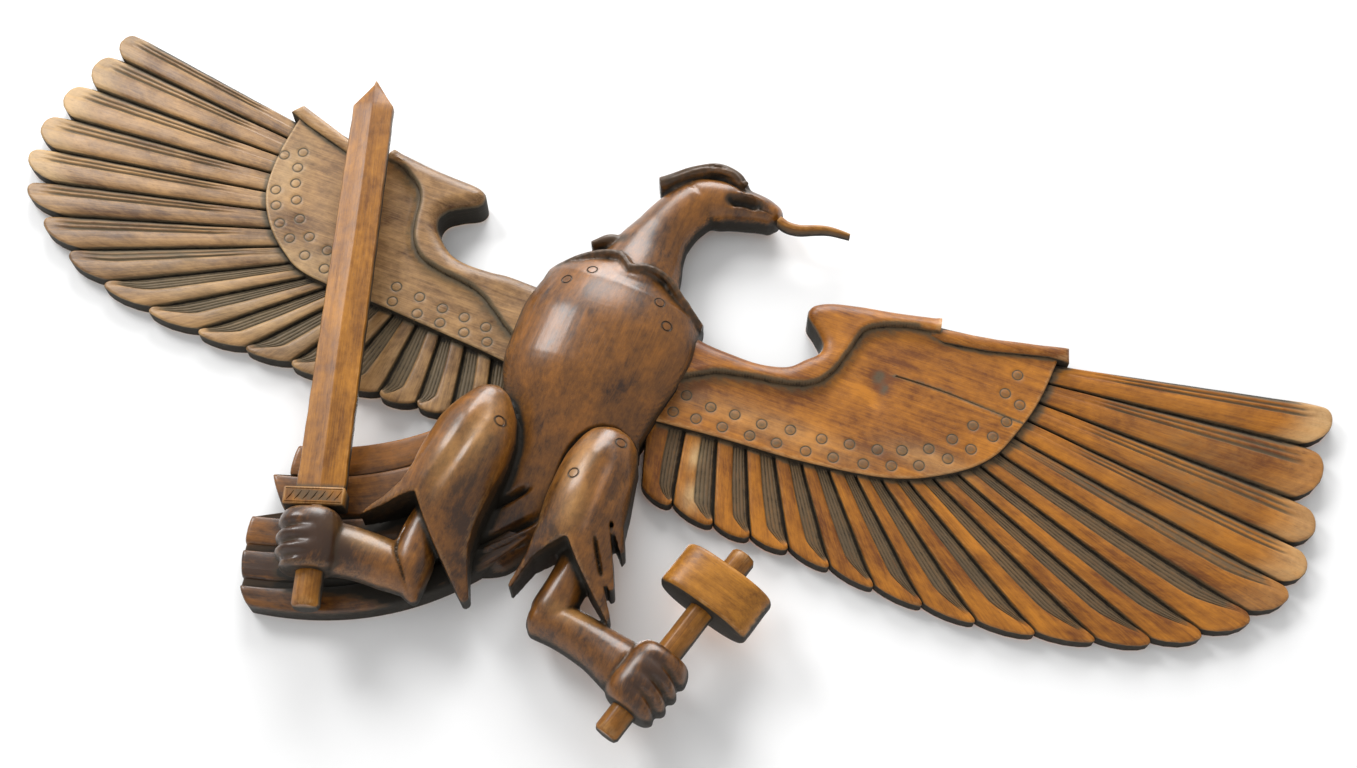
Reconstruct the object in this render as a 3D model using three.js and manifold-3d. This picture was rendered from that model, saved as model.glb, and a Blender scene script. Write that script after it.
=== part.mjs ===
// Carved wooden eagle for a wall, with spread wings, a sword in one claw and a mallet in the other.
// Lengths are millimetres. X runs along the wings, Z up to the head, and the viewer stands at -Y.
// Every flat back lies on the wall at y = 0. A depth is the distance out from the wall.
import * as THREE from 'three';
import { mergeVertices } from 'three/addons/utils/BufferGeometryUtils.js';
import Module from 'manifold-3d';

const wasm = await Module();
wasm.setup();

// Driving dimensions of the whole
const GAP = 0.3; // air left between two pieces that touch
const WELD = 1e-4; // vertices closer than this are one
const OVERSIZE = 700; // longer than any half of the eagle
const BEHIND = 2; // how far a piece reaches behind the wall before the wall trims it

// Driving dimensions of the wings
const WING_FEATHERS = 18;
const FEATHER_DROP = 5; // depth of the groove beside a feather
const END_SKEW = 1.35; // above 1, a feather's tip lies beyond its middle
const END_SQUARENESS = 2.4; // 2 is a round feather end, more is blunter
const ROOT_CROWDING = 0.85; // below 1, the roots crowd towards the outer feathers
const ROOT_INSET = 0.04; // the roots start a little inside the shield's rim
const SHIELD_MIDDLE = [150, 90];
const SHIELD_DEPTH = 26; // smooth plate that covers the feather roots
const SHIELD_EDGE = 2; // rounding of the plate's rim
const BAND_DEPTH = 35; // thick leading edge with the hook
const BAND_ROUND = 5;
const STRIP_DEPTH = 31; // narrow strip that goes on from the band
const STRIP_ROUND = 3;

// Each wing was cut by hand, so each has its own outlines: across from the middle, up. The ends are the
// notches after every second feather, and the bulges are how far every third feather's rounded end reaches
// past its notches.
const RIGHT_WING = {
  side: 1,
  seam: [[58, 95], [58, 21], [47, -37], [60, -75], [66, -101]],
  rootDepth: 21,
  endDepth: 14,
  ends: [[60, -66], [130, -75], [197, -72], [275, -78], [363, -76], [459, -55], [536, -16], [588, 49],
    [581, 127], [577, 222]],
  bulges: [8, 8, 8, 10, 18, 26, 25],
  shield: [[38, -13], [109, -6], [181, -1], [258, 12], [305, 35], [334, 62], [348, 95], [357, 130],
    [361, 174]],
  shieldTop: [[330, 176], [250, 166], [212, 157], [182, 128], [176, 100], [120, 66], [38, 60]],
  bandTop: [[42, 79], [67, 74], [99, 72], [121, 73], [141, 79], [153, 91], [162, 101], [162, 111], [152, 122],
    [141, 132], [141, 143], [155, 152], [181, 159], [208, 164], [253, 174]],
  bandFoot: [[256, 158], [235, 155], [217, 150], [202, 143], [192, 133], [187, 110], [179, 84], [167, 69],
    [147, 61], [118, 56], [87, 49], [66, 37], [42, 22]],
  strip: [[247, 154], [244, 163], [256, 164], [305, 172], [367, 187], [371, 173], [352, 172], [300, 158],
    [262, 152]],
};
const LEFT_WING = {
  side: -1,
  seam: [[92, 95], [92, 11], [80, -43], [78, -74]],
  rootDepth: 19,
  endDepth: 15,
  ends: [[70, -58], [122, -62], [188, -68], [273, -70], [364, -71], [463, -57], [538, -12], [581, 48],
    [580, 123], [567, 192]],
  bulges: [8, 8, 8, 17, 33, 27, 17],
  shield: [[72, -10], [110, -5], [159, -1], [222, 4], [296, 8], [329, 23], [355, 46], [373, 76],
    [380, 116], [380, 158]],
  shieldTop: [[345, 158], [280, 146], [245, 142], [220, 120], [205, 90], [185, 70], [140, 56], [72, 40]],
  bandTop: [[80, 71], [122, 72], [142, 70], [165, 70], [184, 75], [202, 90], [208, 101], [206, 112],
    [195, 121], [180, 130], [178, 141], [190, 148], [235, 151], [277, 157]],
  bandFoot: [[279, 143], [268, 143], [253, 135], [239, 125], [232, 113], [227, 92], [220, 74], [208, 61],
    [189, 54], [155, 49], [139, 44], [124, 35], [108, 24], [80, 6]],
  strip: [[264, 130], [275, 140], [325, 152], [381, 171], [389, 160], [368, 152], [320, 138], [280, 127]],
};
const SHIELD_POINTS = 24; // faceting of the curved outlines
const BAND_TOP_POINTS = 30;
const BAND_FOOT_POINTS = 20;

// Limbs of the body. A station is across, up, depth of the middle, half width, half depth.
const TRUNK = [[-15, 130, 22, 26, 24], [-17, 116, 18, 54, 36], [-19, 90, 14, 78, 50], [-18, 45, 12, 87, 58],
  [-20, 0, 12, 82, 56], [-20, -40, 10, 72, 44], [-28, -85, 6, 56, 32], [-38, -130, 2, 48, 27],
  [-48, -170, 0, 34, 24], [-56, -190, 0, 12, 12]];
const NECK = [[-18, 96, 20, 46, 40], [-17, 122, 20, 40, 33], [-16, 144, 20, 34, 28], [-12, 166, 20, 28, 25],
  [-5, 188, 20, 26, 24], [6, 208, 20, 25, 24]];
const HEAD = [[-6, 200, 20, 16, 16], [6, 211, 20, 25, 23], [28, 218, 20, 25, 25], [48, 219, 20, 19, 23],
  [66, 220, 20, 15.5, 21], [78, 218, 20, 12, 18], [83, 216, 20, 5, 10]];
const CREST = [[-33, 211, 24, 8, 15], [-24, 216, 24, 9, 18], [-6, 230, 24, 9, 22], [14, 241, 24, 8, 23],
  [34, 240, 24, 7, 20], [46, 233, 24, 4, 12]];
const NAPE_TUFT = [[-66, 127, 26, 4, 12], [-52, 137, 26, 8, 14], [-40, 140, 26, 8, 12]];
const COLLARS = [
  [[-84, 95, 26, 3, 8], [-72, 102, 41, 3.4, 5], [-52, 113, 49, 3.2, 4], [-33, 116, 54, 3.2, 4],
    [-18, 105, 58, 3.2, 4]],
  [[-20, 104, 58, 3.2, 4], [-4, 111, 56, 3.2, 4], [14, 110, 52, 3.2, 4], [33, 98, 45, 3.4, 5],
    [60, 84, 24, 3, 8]],
];
// A thigh is a limb that spreads downwards, trimmed to an outline that ends in pointed feather tips.
const THIGHS = [
  {
    stations: [[-78, -44, 42, 6, 12], [-79, -56, 44, 22, 28], [-80, -88, 46, 36, 38], [-80, -118, 47, 39, 40],
      [-82, -150, 46, 43, 35], [-86, -184, 42, 62, 26], [-86, -216, 37, 72, 19], [-84, -236, 34, 72, 16]],
    outline: [[-80, -44], [-92, -50], [-106, -70], [-113, -92], [-116, -115], [-114, -138], [-117, -157],
      [-125, -172], [-135, -184], [-141, -194], [-122, -179], [-110, -168], [-101, -162], [-86, -179],
      [-69, -196], [-50, -213], [-31, -229], [-27, -224], [-36, -205], [-43, -186], [-45, -165],
      [-44, -135], [-43, -110], [-46, -85], [-53, -66], [-66, -50]],
  },
  {
    stations: [[30, -42, 40, 8, 10], [30, -54, 42, 25, 27], [31, -80, 44, 34, 36], [33, -110, 44, 38, 39],
      [36, -140, 43, 43, 35], [39, -170, 40, 54, 28], [42, -206, 36, 62, 20]],
    outline: [[30, -44], [13, -50], [3, -60], [-1, -74], [-2, -98], [-1, -124], [3, -150], [4, -175],
      [-1, -203], [2, -204], [10, -176], [20, -163], [31, -152], [46, -168], [63, -183], [86, -202],
      [87, -197], [75, -180], [69, -170], [79, -179], [82, -176],
      [71, -152], [64, -139], [57, -126], [60, -125], [67, -137], [76, -147], [78, -143], [70, -125],
      [67, -105], [63, -86], [60, -70], [54, -56], [43, -47]],
  },
];
const FORELEGS = [
  [[-84, -150, 38, 16, 18], [-87, -185, 42, 17, 19], [-83, -214, 44, 18, 20], [-73, -235, 42, 10, 14],
    [-67, -243, 42, 3, 6]],
  [[-74, -226, 42, 15, 17], [-100, -222, 44, 21, 20], [-130, -223, 46, 22, 19], [-154, -228, 50, 24, 20]],
  [[40, -140, 34, 16, 18], [42, -172, 34, 17, 19], [38, -204, 32, 18, 20], [34, -224, 30, 10, 14]],
  [[22, -214, 29, 9, 12], [29, -214, 29, 17, 19], [52, -214, 30, 19, 21], [84, -221, 34, 20, 21],
    [112, -230, 38, 24, 22]],
];
// Long chip cuts in the belly plumage
const BELLY_CUTS = [
  [[-50, -141, 33, 1, 2], [-38, -128, 33, 3.5, 7], [-24, -111, 36, 1, 2]],
  [[-56, -182, 25, 1, 3], [-30, -156, 29, 3.5, 7], [-6, -130, 31, 1, 2]],
];

// Tail: the two corners of each feather's end, and the line where the feathers leave the body
const TAIL_FEATHERS = 5;
const TAIL_ENDS = [[[-228, -143], [-222, -171]], [[-237, -175], [-210, -203]], [[-235, -216], [-228, -241]],
  [[-228, -246], [-216, -269]], [[-216, -275], [-200, -289]]];
const TAIL_ROOTS = [[-88, -40], [-78, -72], [-55, -125], [-42, -146], [-28, -150], [-8, -148]];
const TAIL_BOWS = [17, 17, 11, 12, 20, 30]; // how far each of these lines curves out of straight
const TAIL_DEPTH = 21;
const TAIL_BULGE = 2;

// Sword, measured up from the end of its grip
const SWORD = { x: -144, z: -282, depth: 55, lean: -19.4, grip: 86, guard: 16, length: 514 };
const GRIP_RADIUS = 12;
const GUARD_HALF_WIDTH = 25.5;
const GUARD_HALF_DEPTH = 11;
const GUARD_ASIDE = -3.5; // the guard was cut a little off the middle
const BLADE_FOOT = 20.5; // half width at the guard
const BLADE_END = 18.5; // half width where the point starts
const BLADE_EDGE = 5; // half thickness at the edge
const BLADE_RIDGE = 7.5; // half thickness at the midrib
const POINT = 28;
const POINT_HALF = [1, 2, 2.5]; // half width, edge and ridge at the very point

// Mallet, measured up from the lower end of its handle
const MALLET = { x: 119, z: -286, depth: 42, lean: 15.6, length: 187, headAt: 147 };
const HANDLE_RADIUS = 11.3;
const MALLET_HALF_WIDTH = 43;
const MALLET_HALF_DEPTH = 25;
const MALLET_HEIGHT = 40;
const MALLET_SQUARENESS = 2.6;
const MALLET_SIDES = 28;
const MALLET_ROUND = 2;

// Closed claws, measured along what they hold. The grooves between the toes lie at shares of that length,
// only on the side that the toes wrap around.
const LEFT_CLAW = {
  from: 30, to: 83, aside: -4, halfWidth: 27, halfDepth: 25, grooves: [0.17, 0.41, 0.66], side: -1,
};
const RIGHT_CLAW = {
  from: 24, to: 82, aside: 1, halfWidth: 27, halfDepth: 26, grooves: [0.28, 0.52, 0.76], side: 1,
};
const CLAW_SIDES = 14;
const CLAW_END = 0.62; // a claw's ends are this much narrower than its middle
const CLAW_FULLNESS = 3; // more keeps a claw wide for longer towards its ends
const CLAW_SQUARENESS = 2.5; // 2 is an oval, more is boxier
const CLAW_WRAP = [-0.3, 0.5]; // across the claw, from no groove to a full one
const CLAW_GROOVE = 4.5;
const CLAW_GROOVE_HALF = 0.07; // half a groove's width as a share of the claw's length
const CLAW_SHOULDER = 0.05; // where a claw's rounded ends turn into its sides

// Tongue, a thin slat cut to a wave
const TONGUE = [[83.5, 214], [92, 211], [104, 212], [118, 218], [131, 222], [149, 223]];
const TONGUE_WIDTH = 6.5;
const TONGUE_NARROWING = 0.6; // share of the width that is lost at the tip
const TONGUE_FROM = 24;
const TONGUE_TO = 37;
const TONGUE_THINNING = 3; // depth that is lost at the tip
const TONGUE_STEPS = 12;

const at = (across, up, depth) => new THREE.Vector3(across, -depth, up);
const flip = (points, side) => points.map(([across, up]) => [across * side, up]);

// 0 at both ends and 1 in the middle
const arch = (share) => 4 * share * (1 - share);

// Where a list is read between two of its numbers
function between(numbers, place) {
  const low = Math.min(Math.floor(place), numbers.length - 2);
  return THREE.MathUtils.lerp(numbers[low], numbers[low + 1], place - low);
}

// Signed volume tells whether the faces of a closed skin point out.
function signedVolume(points, faces) {
  let sum = 0;
  for (let i = 0; i < faces.length; i += 3) {
    const [a, b, c] = [faces[i], faces[i + 1], faces[i + 2]].map((index) => points[index]);
    sum += a.dot(new THREE.Vector3().crossVectors(b, c)) / 6;
  }
  return sum;
}

// Turns points and faces into a solid, facing outwards.
function solidFrom(points, faces) {
  const turned = signedVolume(points, faces) < 0;
  const triVerts = Uint32Array.from(turned ? [...faces].reverse() : faces);
  const vertProperties = Float32Array.from(points.flatMap((point) => point.toArray()));
  return new wasm.Manifold(new wasm.Mesh({ numProp: 3, vertProperties, triVerts }));
}

// Turns a three.js geometry into a solid, in the place that a matrix gives.
function solidOf(geometry, matrix = new THREE.Matrix4()) {
  const bare = geometry.clone().applyMatrix4(matrix);
  bare.deleteAttribute('normal');
  bare.deleteAttribute('uv');
  const welded = mergeVertices(bare, WELD);
  const place = welded.getAttribute('position');
  const pointAt = (_, i) => new THREE.Vector3().fromBufferAttribute(place, i);
  const points = Array.from({ length: place.count }, pointAt);
  return solidFrom(points, Array.from(welded.index.array));
}

const join = (solids) => solids.reduce((whole, solid) => whole.add(solid));

// Closed skin through rings of equally many points, with a fan over each end.
function skin(rings) {
  const count = rings[0].length;
  const points = rings.flat();
  const faces = [];
  for (let row = 0; row < rings.length - 1; row += 1) {
    for (let i = 0; i < count; i += 1) {
      const a = row * count + i;
      const b = row * count + ((i + 1) % count);
      faces.push(a, b, b + count, a, b + count, a + count);
    }
  }
  [0, rings.length - 1].forEach((row) => {
    const middle = rings[row].reduce((sum, point) => sum.add(point), new THREE.Vector3());
    points.push(middle.divideScalar(count));
    for (let i = 0; i < count; i += 1) {
      const a = row * count + i;
      const b = row * count + ((i + 1) % count);
      faces.push(...(row === 0 ? [points.length - 1, b, a] : [points.length - 1, a, b]));
    }
  });
  return solidFrom(points, faces);
}

// A limb with an oval section, curving smoothly through its stations.
function limb(stations, steps = 3, sides = 12) {
  const spine = new THREE.CatmullRomCurve3(stations.map(([across, up, depth]) => at(across, up, depth)));
  const sizes = stations.map((station) => new THREE.Vector3(station[3], station[4], 0));
  const girth = new THREE.CatmullRomCurve3(sizes);
  const count = (stations.length - 1) * steps;
  const rings = Array.from({ length: count + 1 }, (_, i) => {
    const middle = spine.getPoint(i / count);
    const size = girth.getPoint(i / count);
    const along = spine.getTangent(i / count);
    const sideways = new THREE.Vector3().crossVectors(along, new THREE.Vector3(0, -1, 0)).normalize();
    const outwards = new THREE.Vector3().crossVectors(sideways, along).normalize();
    return Array.from({ length: sides }, (_, k) => {
      const turn = (k / sides) * 2 * Math.PI;
      return middle.clone()
        .addScaledVector(sideways, size.x * Math.cos(turn))
        .addScaledVector(outwards, size.y * Math.sin(turn));
    });
  });
  return skin(rings);
}

// A limb trimmed to an outline as seen from the front.
function trimmedLimb({ stations, outline }) {
  const shape = new THREE.Shape(outline.map((point) => new THREE.Vector2(...point)));
  const geometry = new THREE.ExtrudeGeometry(shape, { depth: 2 * OVERSIZE, bevelEnabled: false });
  geometry.translate(0, 0, -OVERSIZE);
  return limb(stations, 2, 14).intersect(solidOf(geometry, new THREE.Matrix4().makeRotationX(Math.PI / 2)));
}

// Evenly spaced points of a smooth line through a few given ones.
function smooth(points, count) {
  const curve = new THREE.SplineCurve(points.map(([across, up]) => new THREE.Vector2(across, up)));
  return curve.getSpacedPoints(count);
}

// A plate of the given outline that stands on the wall, with its front rim rounded.
function plate(outline, depth, round, roundSteps = 2) {
  const geometry = new THREE.ExtrudeGeometry(new THREE.Shape(outline), {
    depth: depth,
    bevelThickness: round,
    bevelSize: round,
    bevelOffset: -round,
    bevelSegments: roundSteps,
  });
  const stand = new THREE.Matrix4().makeRotationX(Math.PI / 2);
  stand.multiply(new THREE.Matrix4().makeTranslation(0, 0, -round));
  return solidOf(geometry, stand);
}

// Everything behind the wall, and so no part of any piece.
function behindWall() {
  const box = new THREE.BoxGeometry(2 * OVERSIZE, OVERSIZE, 2 * OVERSIZE);
  return solidOf(box, new THREE.Matrix4().makeTranslation(0, OVERSIZE / 2, 0));
}

// Height lost at each place across a feather: a crisp vane edge, a soft crown, then a slope to the groove.
const VANE = [[0, 1], [0.07, 0.18], [0.34, 0], [0.56, 0.16], [0.65, 0.5], [0.89, 0.78]];

// Feathers side by side on one board. A place on it is a feather number with a fraction, and a length
// from 0 at the root to 1 at the end.
function featherBoard({ feathers, rootAt, cornersOf, bulgeAt, bowAt, rootDepth, endDepth, rows }) {
  const columns = [];
  for (let feather = 0; feather < feathers; feather += 1) {
    VANE.forEach(([fraction, loss]) => columns.push([feather, fraction, loss]));
  }
  columns.push([feathers - 1, 1, 1]);
  const last = rows.length;
  const points = [];
  columns.forEach(([feather, fraction, loss]) => {
    const place = feather + fraction;
    const root = rootAt(place);
    const [lowCorner, highCorner] = cornersOf(feather);
    const chord = lowCorner.clone().lerp(highCorner, fraction);
    const reach = chord.clone().sub(root).normalize();
    const roundness = Math.sqrt(1 - Math.abs(2 * fraction ** END_SKEW - 1) ** END_SQUARENESS);
    const end = chord.addScaledVector(reach, bulgeAt(feather) * roundness);
    const sideways = new THREE.Vector2(-reach.y, reach.x);
    const column = [];
    rows.forEach(([length, rim]) => {
      const spot = root.clone().lerp(end, length).addScaledVector(sideways, bowAt(place) * arch(length));
      const depth = THREE.MathUtils.lerp(rootDepth, endDepth, length) - loss * FEATHER_DROP - rim;
      column.push(at(spot.x, spot.y, depth));
    });
    rows.forEach(([length]) => {
      const spot = root.clone().lerp(end, length).addScaledVector(sideways, bowAt(place) * arch(length));
      column.push(at(spot.x, spot.y, -BEHIND));
    });
    points.push(...column);
  });
  const stride = 2 * last;
  const faces = [];
  const quad = (a, b, c, d) => faces.push(a, b, c, a, c, d);
  for (let i = 0; i < columns.length - 1; i += 1) {
    const here = i * stride;
    const next = here + stride;
    for (let row = 0; row < last - 1; row += 1) {
      quad(here + row, next + row, next + row + 1, here + row + 1);
      quad(here + last + row, here + last + row + 1, next + last + row + 1, next + last + row);
    }
    quad(here + last - 1, next + last - 1, next + stride - 1, here + stride - 1);
    quad(here, here + last, next + last, next);
  }
  [0, (columns.length - 1) * stride].forEach((start) => {
    for (let row = 0; row < last - 1; row += 1) {
      const corners = [start + row, start + row + 1, start + last + row + 1, start + last + row];
      quad(...(start === 0 ? corners : corners.reverse()));
    }
  });
  return solidFrom(points, faces);
}

// The feathers of one wing, whose roots lie closer together towards its end.
function wingFeathers({ side, ends: notches, bulges, shield, rootDepth, endDepth }) {
  const ends = new THREE.SplineCurve(flip(notches, side).map((point) => new THREE.Vector2(...point)));
  const roots = new THREE.SplineCurve(flip(shield, side).map((point) => new THREE.Vector2(...point)));
  const middle = new THREE.Vector2(side * SHIELD_MIDDLE[0], SHIELD_MIDDLE[1]);
  return featherBoard({
    feathers: WING_FEATHERS,
    rootAt: (place) => {
      const rim = roots.getPointAt((place / WING_FEATHERS) ** ROOT_CROWDING);
      return rim.lerp(middle, ROOT_INSET);
    },
    cornersOf: (feather) => [feather, feather + 1].map((notch) => ends.getPoint(notch / WING_FEATHERS)),
    bulgeAt: (feather) => between(bulges, feather / 3),
    bowAt: () => 0,
    rootDepth: rootDepth,
    endDepth: endDepth,
    rows: [[0, 0], [0.9, 0], [1, 3]],
  });
}

// Room on the outer side of a wing's seam. The body's slot for the wing reaches a little above and below
// the seam and just past the band's depth. The room that trims the wing reaches past everything.
function wingRoom(wing, gap, beyond, depth) {
  const seam = flip(wing.seam, wing.side).map(([across, up]) => [across + wing.side * gap, up]);
  const far = wing.side * OVERSIZE;
  const [top, bottom] = [seam[0], seam[seam.length - 1]];
  const outline = [[far, top[1] + beyond], [top[0], top[1] + beyond], ...seam];
  outline.push([bottom[0], bottom[1] - beyond], [far, bottom[1] - beyond]);
  const shape = new THREE.Shape(outline.map((point) => new THREE.Vector2(...point)));
  const geometry = new THREE.ExtrudeGeometry(shape, { depth: OVERSIZE + depth, bevelEnabled: false });
  geometry.translate(0, 0, -OVERSIZE);
  return solidOf(geometry, new THREE.Matrix4().makeRotationX(Math.PI / 2));
}

// One wing: feathers, the shield over their roots, the strip and the thick band with the hook.
function wingSolid(wing) {
  const sided = (points) => flip(points, wing.side);
  const shieldRim = smooth(sided(wing.shield), SHIELD_POINTS);
  const shieldTop = sided(wing.shieldTop).map((point) => new THREE.Vector2(...point));
  const bandTop = smooth(sided(wing.bandTop), BAND_TOP_POINTS);
  const bandFoot = smooth(sided(wing.bandFoot), BAND_FOOT_POINTS);
  const strip = sided(wing.strip).map((point) => new THREE.Vector2(...point));
  const carved = join([
    wingFeathers(wing),
    plate([...shieldRim, ...shieldTop], SHIELD_DEPTH, SHIELD_EDGE, 1),
    plate(strip, STRIP_DEPTH, STRIP_ROUND, 1),
    plate([...bandTop, ...bandFoot], BAND_DEPTH, BAND_ROUND),
  ]);
  return carved.subtract(behindWall()).intersect(wingRoom(wing, GAP, OVERSIZE, OVERSIZE));
}

function tailFeathers() {
  const roots = new THREE.SplineCurve(TAIL_ROOTS.map((point) => new THREE.Vector2(...point)));
  return featherBoard({
    feathers: TAIL_FEATHERS,
    rootAt: (place) => roots.getPoint(place / TAIL_FEATHERS),
    cornersOf: (feather) => TAIL_ENDS[feather].map((point) => new THREE.Vector2(...point)),
    bulgeAt: () => TAIL_BULGE,
    bowAt: (place) => between(TAIL_BOWS, place),
    rootDepth: TAIL_DEPTH,
    endDepth: TAIL_DEPTH,
    rows: [[0, 0], [0.25, 0], [0.5, 0], [0.75, 0], [0.93, 0], [1, 2]],
  });
}

// Where a held tool stands: its low end, its depth and its lean to the side.
function toolMatrix({ x, z, depth, lean }) {
  const matrix = new THREE.Matrix4().makeTranslation(x, -depth, z);
  return matrix.multiply(new THREE.Matrix4().makeRotationY(THREE.MathUtils.degToRad(lean)));
}

// A straight stick with eight flats, standing on its end.
function stick(radius, length) {
  const geometry = new THREE.CylinderGeometry(radius, radius, length, 8, 1, false, Math.PI / 8);
  return geometry.rotateX(Math.PI / 2).translate(0, 0, length / 2);
}

// A coordinate of a rounded box in a turn, from its cosine or sine.
const squared = (value, squareness) => Math.sign(value) * Math.abs(value) ** (2 / squareness);

// A closed claw around a stick, with grooves between the toes.
function claw({ from, to, aside, halfWidth, halfDepth, grooves, side }, tool) {
  const beside = grooves.flatMap((t) => [t - CLAW_GROOVE_HALF, t, t + CLAW_GROOVE_HALF]);
  const shares = [0, CLAW_SHOULDER, ...beside, 1 - CLAW_SHOULDER, 1];
  const rings = shares.map((t) => {
    const taper = Math.sqrt(1 - Math.abs(2 * t - 1) ** CLAW_FULLNESS);
    const shrink = THREE.MathUtils.lerp(CLAW_END, 1, taper);
    const groove = grooves.includes(t) ? CLAW_GROOVE : 0;
    return Array.from({ length: CLAW_SIDES }, (_, k) => {
      const turn = (k / CLAW_SIDES) * 2 * Math.PI;
      const cut = groove * THREE.MathUtils.smoothstep(side * Math.cos(turn), ...CLAW_WRAP);
      const wide = aside + (halfWidth - cut) * shrink * squared(Math.cos(turn), CLAW_SQUARENESS);
      const deep = (halfDepth - cut) * shrink * squared(Math.sin(turn), CLAW_SQUARENESS);
      return new THREE.Vector3(wide, deep, THREE.MathUtils.lerp(from, to, t)).applyMatrix4(toolMatrix(tool));
    });
  });
  return skin(rings);
}

// The body with head, thighs, forelegs, claws and tail is carved from one block. The cuts in the belly end
// where the legs lie over it.
function bodySolid() {
  let body = join([limb(TRUNK, 2, 18), tailFeathers()]);
  BELLY_CUTS.forEach((stations) => {
    body = body.subtract(limb(stations, 1, 6));
  });
  body = join([
    body,
    limb(NECK, 2, 12),
    limb(HEAD, 2, 12),
    limb(CREST, 2, 8),
    limb(NAPE_TUFT, 1, 8),
    ...COLLARS.map((stations) => limb(stations, 2, 6)),
    ...THIGHS.map(trimmedLimb),
    ...FORELEGS.map((stations) => limb(stations, 2, 10)),
    claw(LEFT_CLAW, SWORD),
    claw(RIGHT_CLAW, MALLET),
  ]);
  const holes = [[GRIP_RADIUS, SWORD], [HANDLE_RADIUS, MALLET]];
  holes.forEach(([radius, tool]) => {
    body = body.subtract(solidOf(stick(radius + GAP, tool.length), toolMatrix(tool)));
  });
  [RIGHT_WING, LEFT_WING].forEach((wing) => {
    body = body.subtract(wingRoom(wing, 0, 1, BAND_DEPTH + GAP));
  });
  return body.subtract(behindWall());
}

// Straight sword with a flat-diamond blade, a block guard and an eight-sided grip.
function swordSolid() {
  const grip = solidOf(stick(GRIP_RADIUS, SWORD.grip + 1));
  const guardBox = new THREE.BoxGeometry(2 * GUARD_HALF_WIDTH, 2 * GUARD_HALF_DEPTH, SWORD.guard);
  const guard = solidOf(guardBox.translate(GUARD_ASIDE, 0, SWORD.grip + SWORD.guard / 2));
  const section = (halfWidth, edge, ridge, height) => [
    new THREE.Vector3(halfWidth, -edge, height),
    new THREE.Vector3(halfWidth, edge, height),
    new THREE.Vector3(0, ridge, height),
    new THREE.Vector3(-halfWidth, edge, height),
    new THREE.Vector3(-halfWidth, -edge, height),
    new THREE.Vector3(0, -ridge, height),
  ];
  const foot = SWORD.grip + SWORD.guard - 1;
  const blade = skin([
    section(BLADE_FOOT, BLADE_EDGE, BLADE_RIDGE, foot),
    section(BLADE_END, BLADE_EDGE, BLADE_RIDGE, SWORD.length - POINT),
    section(...POINT_HALF, SWORD.length),
  ]);
  return join([grip, guard, blade]);
}

// Mallet head: an oval block, pierced by the handle.
function malletHeadSolid() {
  const outline = Array.from({ length: MALLET_SIDES }, (_, i) => {
    const turn = (i / MALLET_SIDES) * 2 * Math.PI;
    const across = MALLET_HALF_WIDTH * squared(Math.cos(turn), MALLET_SQUARENESS);
    return new THREE.Vector2(across, MALLET_HALF_DEPTH * squared(Math.sin(turn), MALLET_SQUARENESS));
  });
  const geometry = new THREE.ExtrudeGeometry(new THREE.Shape(outline), {
    depth: MALLET_HEIGHT - 2 * MALLET_ROUND,
    bevelThickness: MALLET_ROUND,
    bevelSize: MALLET_ROUND,
    bevelOffset: -MALLET_ROUND,
    bevelSegments: 1,
  });
  const block = solidOf(geometry.translate(0, 0, MALLET.headAt + MALLET_ROUND - MALLET_HEIGHT / 2));
  return block.subtract(solidOf(stick(HANDLE_RADIUS + GAP, MALLET.length)));
}

// Tongue: a slat that follows the wave and thins out to its tip.
function tongueSolid() {
  const wave = new THREE.SplineCurve(TONGUE.map((point) => new THREE.Vector2(...point)));
  const rings = Array.from({ length: TONGUE_STEPS + 1 }, (_, i) => {
    const t = i / TONGUE_STEPS;
    const middle = wave.getPoint(t);
    const along = wave.getTangent(t);
    const half = (TONGUE_WIDTH / 2) * (1 - TONGUE_NARROWING * t ** 3);
    const front = TONGUE_TO - TONGUE_THINNING * t ** 2;
    const corners = [[half, TONGUE_FROM], [half, front], [-half, front], [-half, TONGUE_FROM]];
    return corners.map(([off, depth]) => at(middle.x - along.y * off, middle.y + along.x * off, depth));
  });
  return skin(rings);
}

// A named mesh with its own material from a solid.
function mesh(name, solid, { color, roughness }) {
  const { numProp, vertProperties, triVerts } = solid.getMesh();
  const geometry = new THREE.BufferGeometry();
  const positions = new Float32Array((vertProperties.length / numProp) * 3);
  for (let i = 0; i < positions.length / 3; i += 1) {
    positions.set(vertProperties.subarray(i * numProp, i * numProp + 3), i * 3);
  }
  geometry.setAttribute('position', new THREE.BufferAttribute(positions, 3));
  geometry.setIndex(new THREE.BufferAttribute(Uint32Array.from(triVerts), 1));
  geometry.computeVertexNormals();
  const material = new THREE.MeshStandardMaterial({ color: color, roughness: roughness, metalness: 0 });
  const named = new THREE.Mesh(geometry, material);
  named.name = name;
  return named;
}

const WOODS = {
  body: { color: 0x5a2c14, roughness: 0.35 },
  rightWing: { color: 0x8a5222, roughness: 0.45 },
  leftWing: { color: 0x8b6545, roughness: 0.45 },
  sword: { color: 0x8c5722, roughness: 0.4 },
  handle: { color: 0x86552a, roughness: 0.4 },
  malletHead: { color: 0x8f5f30, roughness: 0.4 },
  tongue: { color: 0x7a5230, roughness: 0.5 },
};

// Stands a tool's mesh in its place.
function stand(named, tool) {
  named.position.set(tool.x, -tool.depth, tool.z);
  named.rotation.y = THREE.MathUtils.degToRad(tool.lean);
  return named;
}

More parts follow.
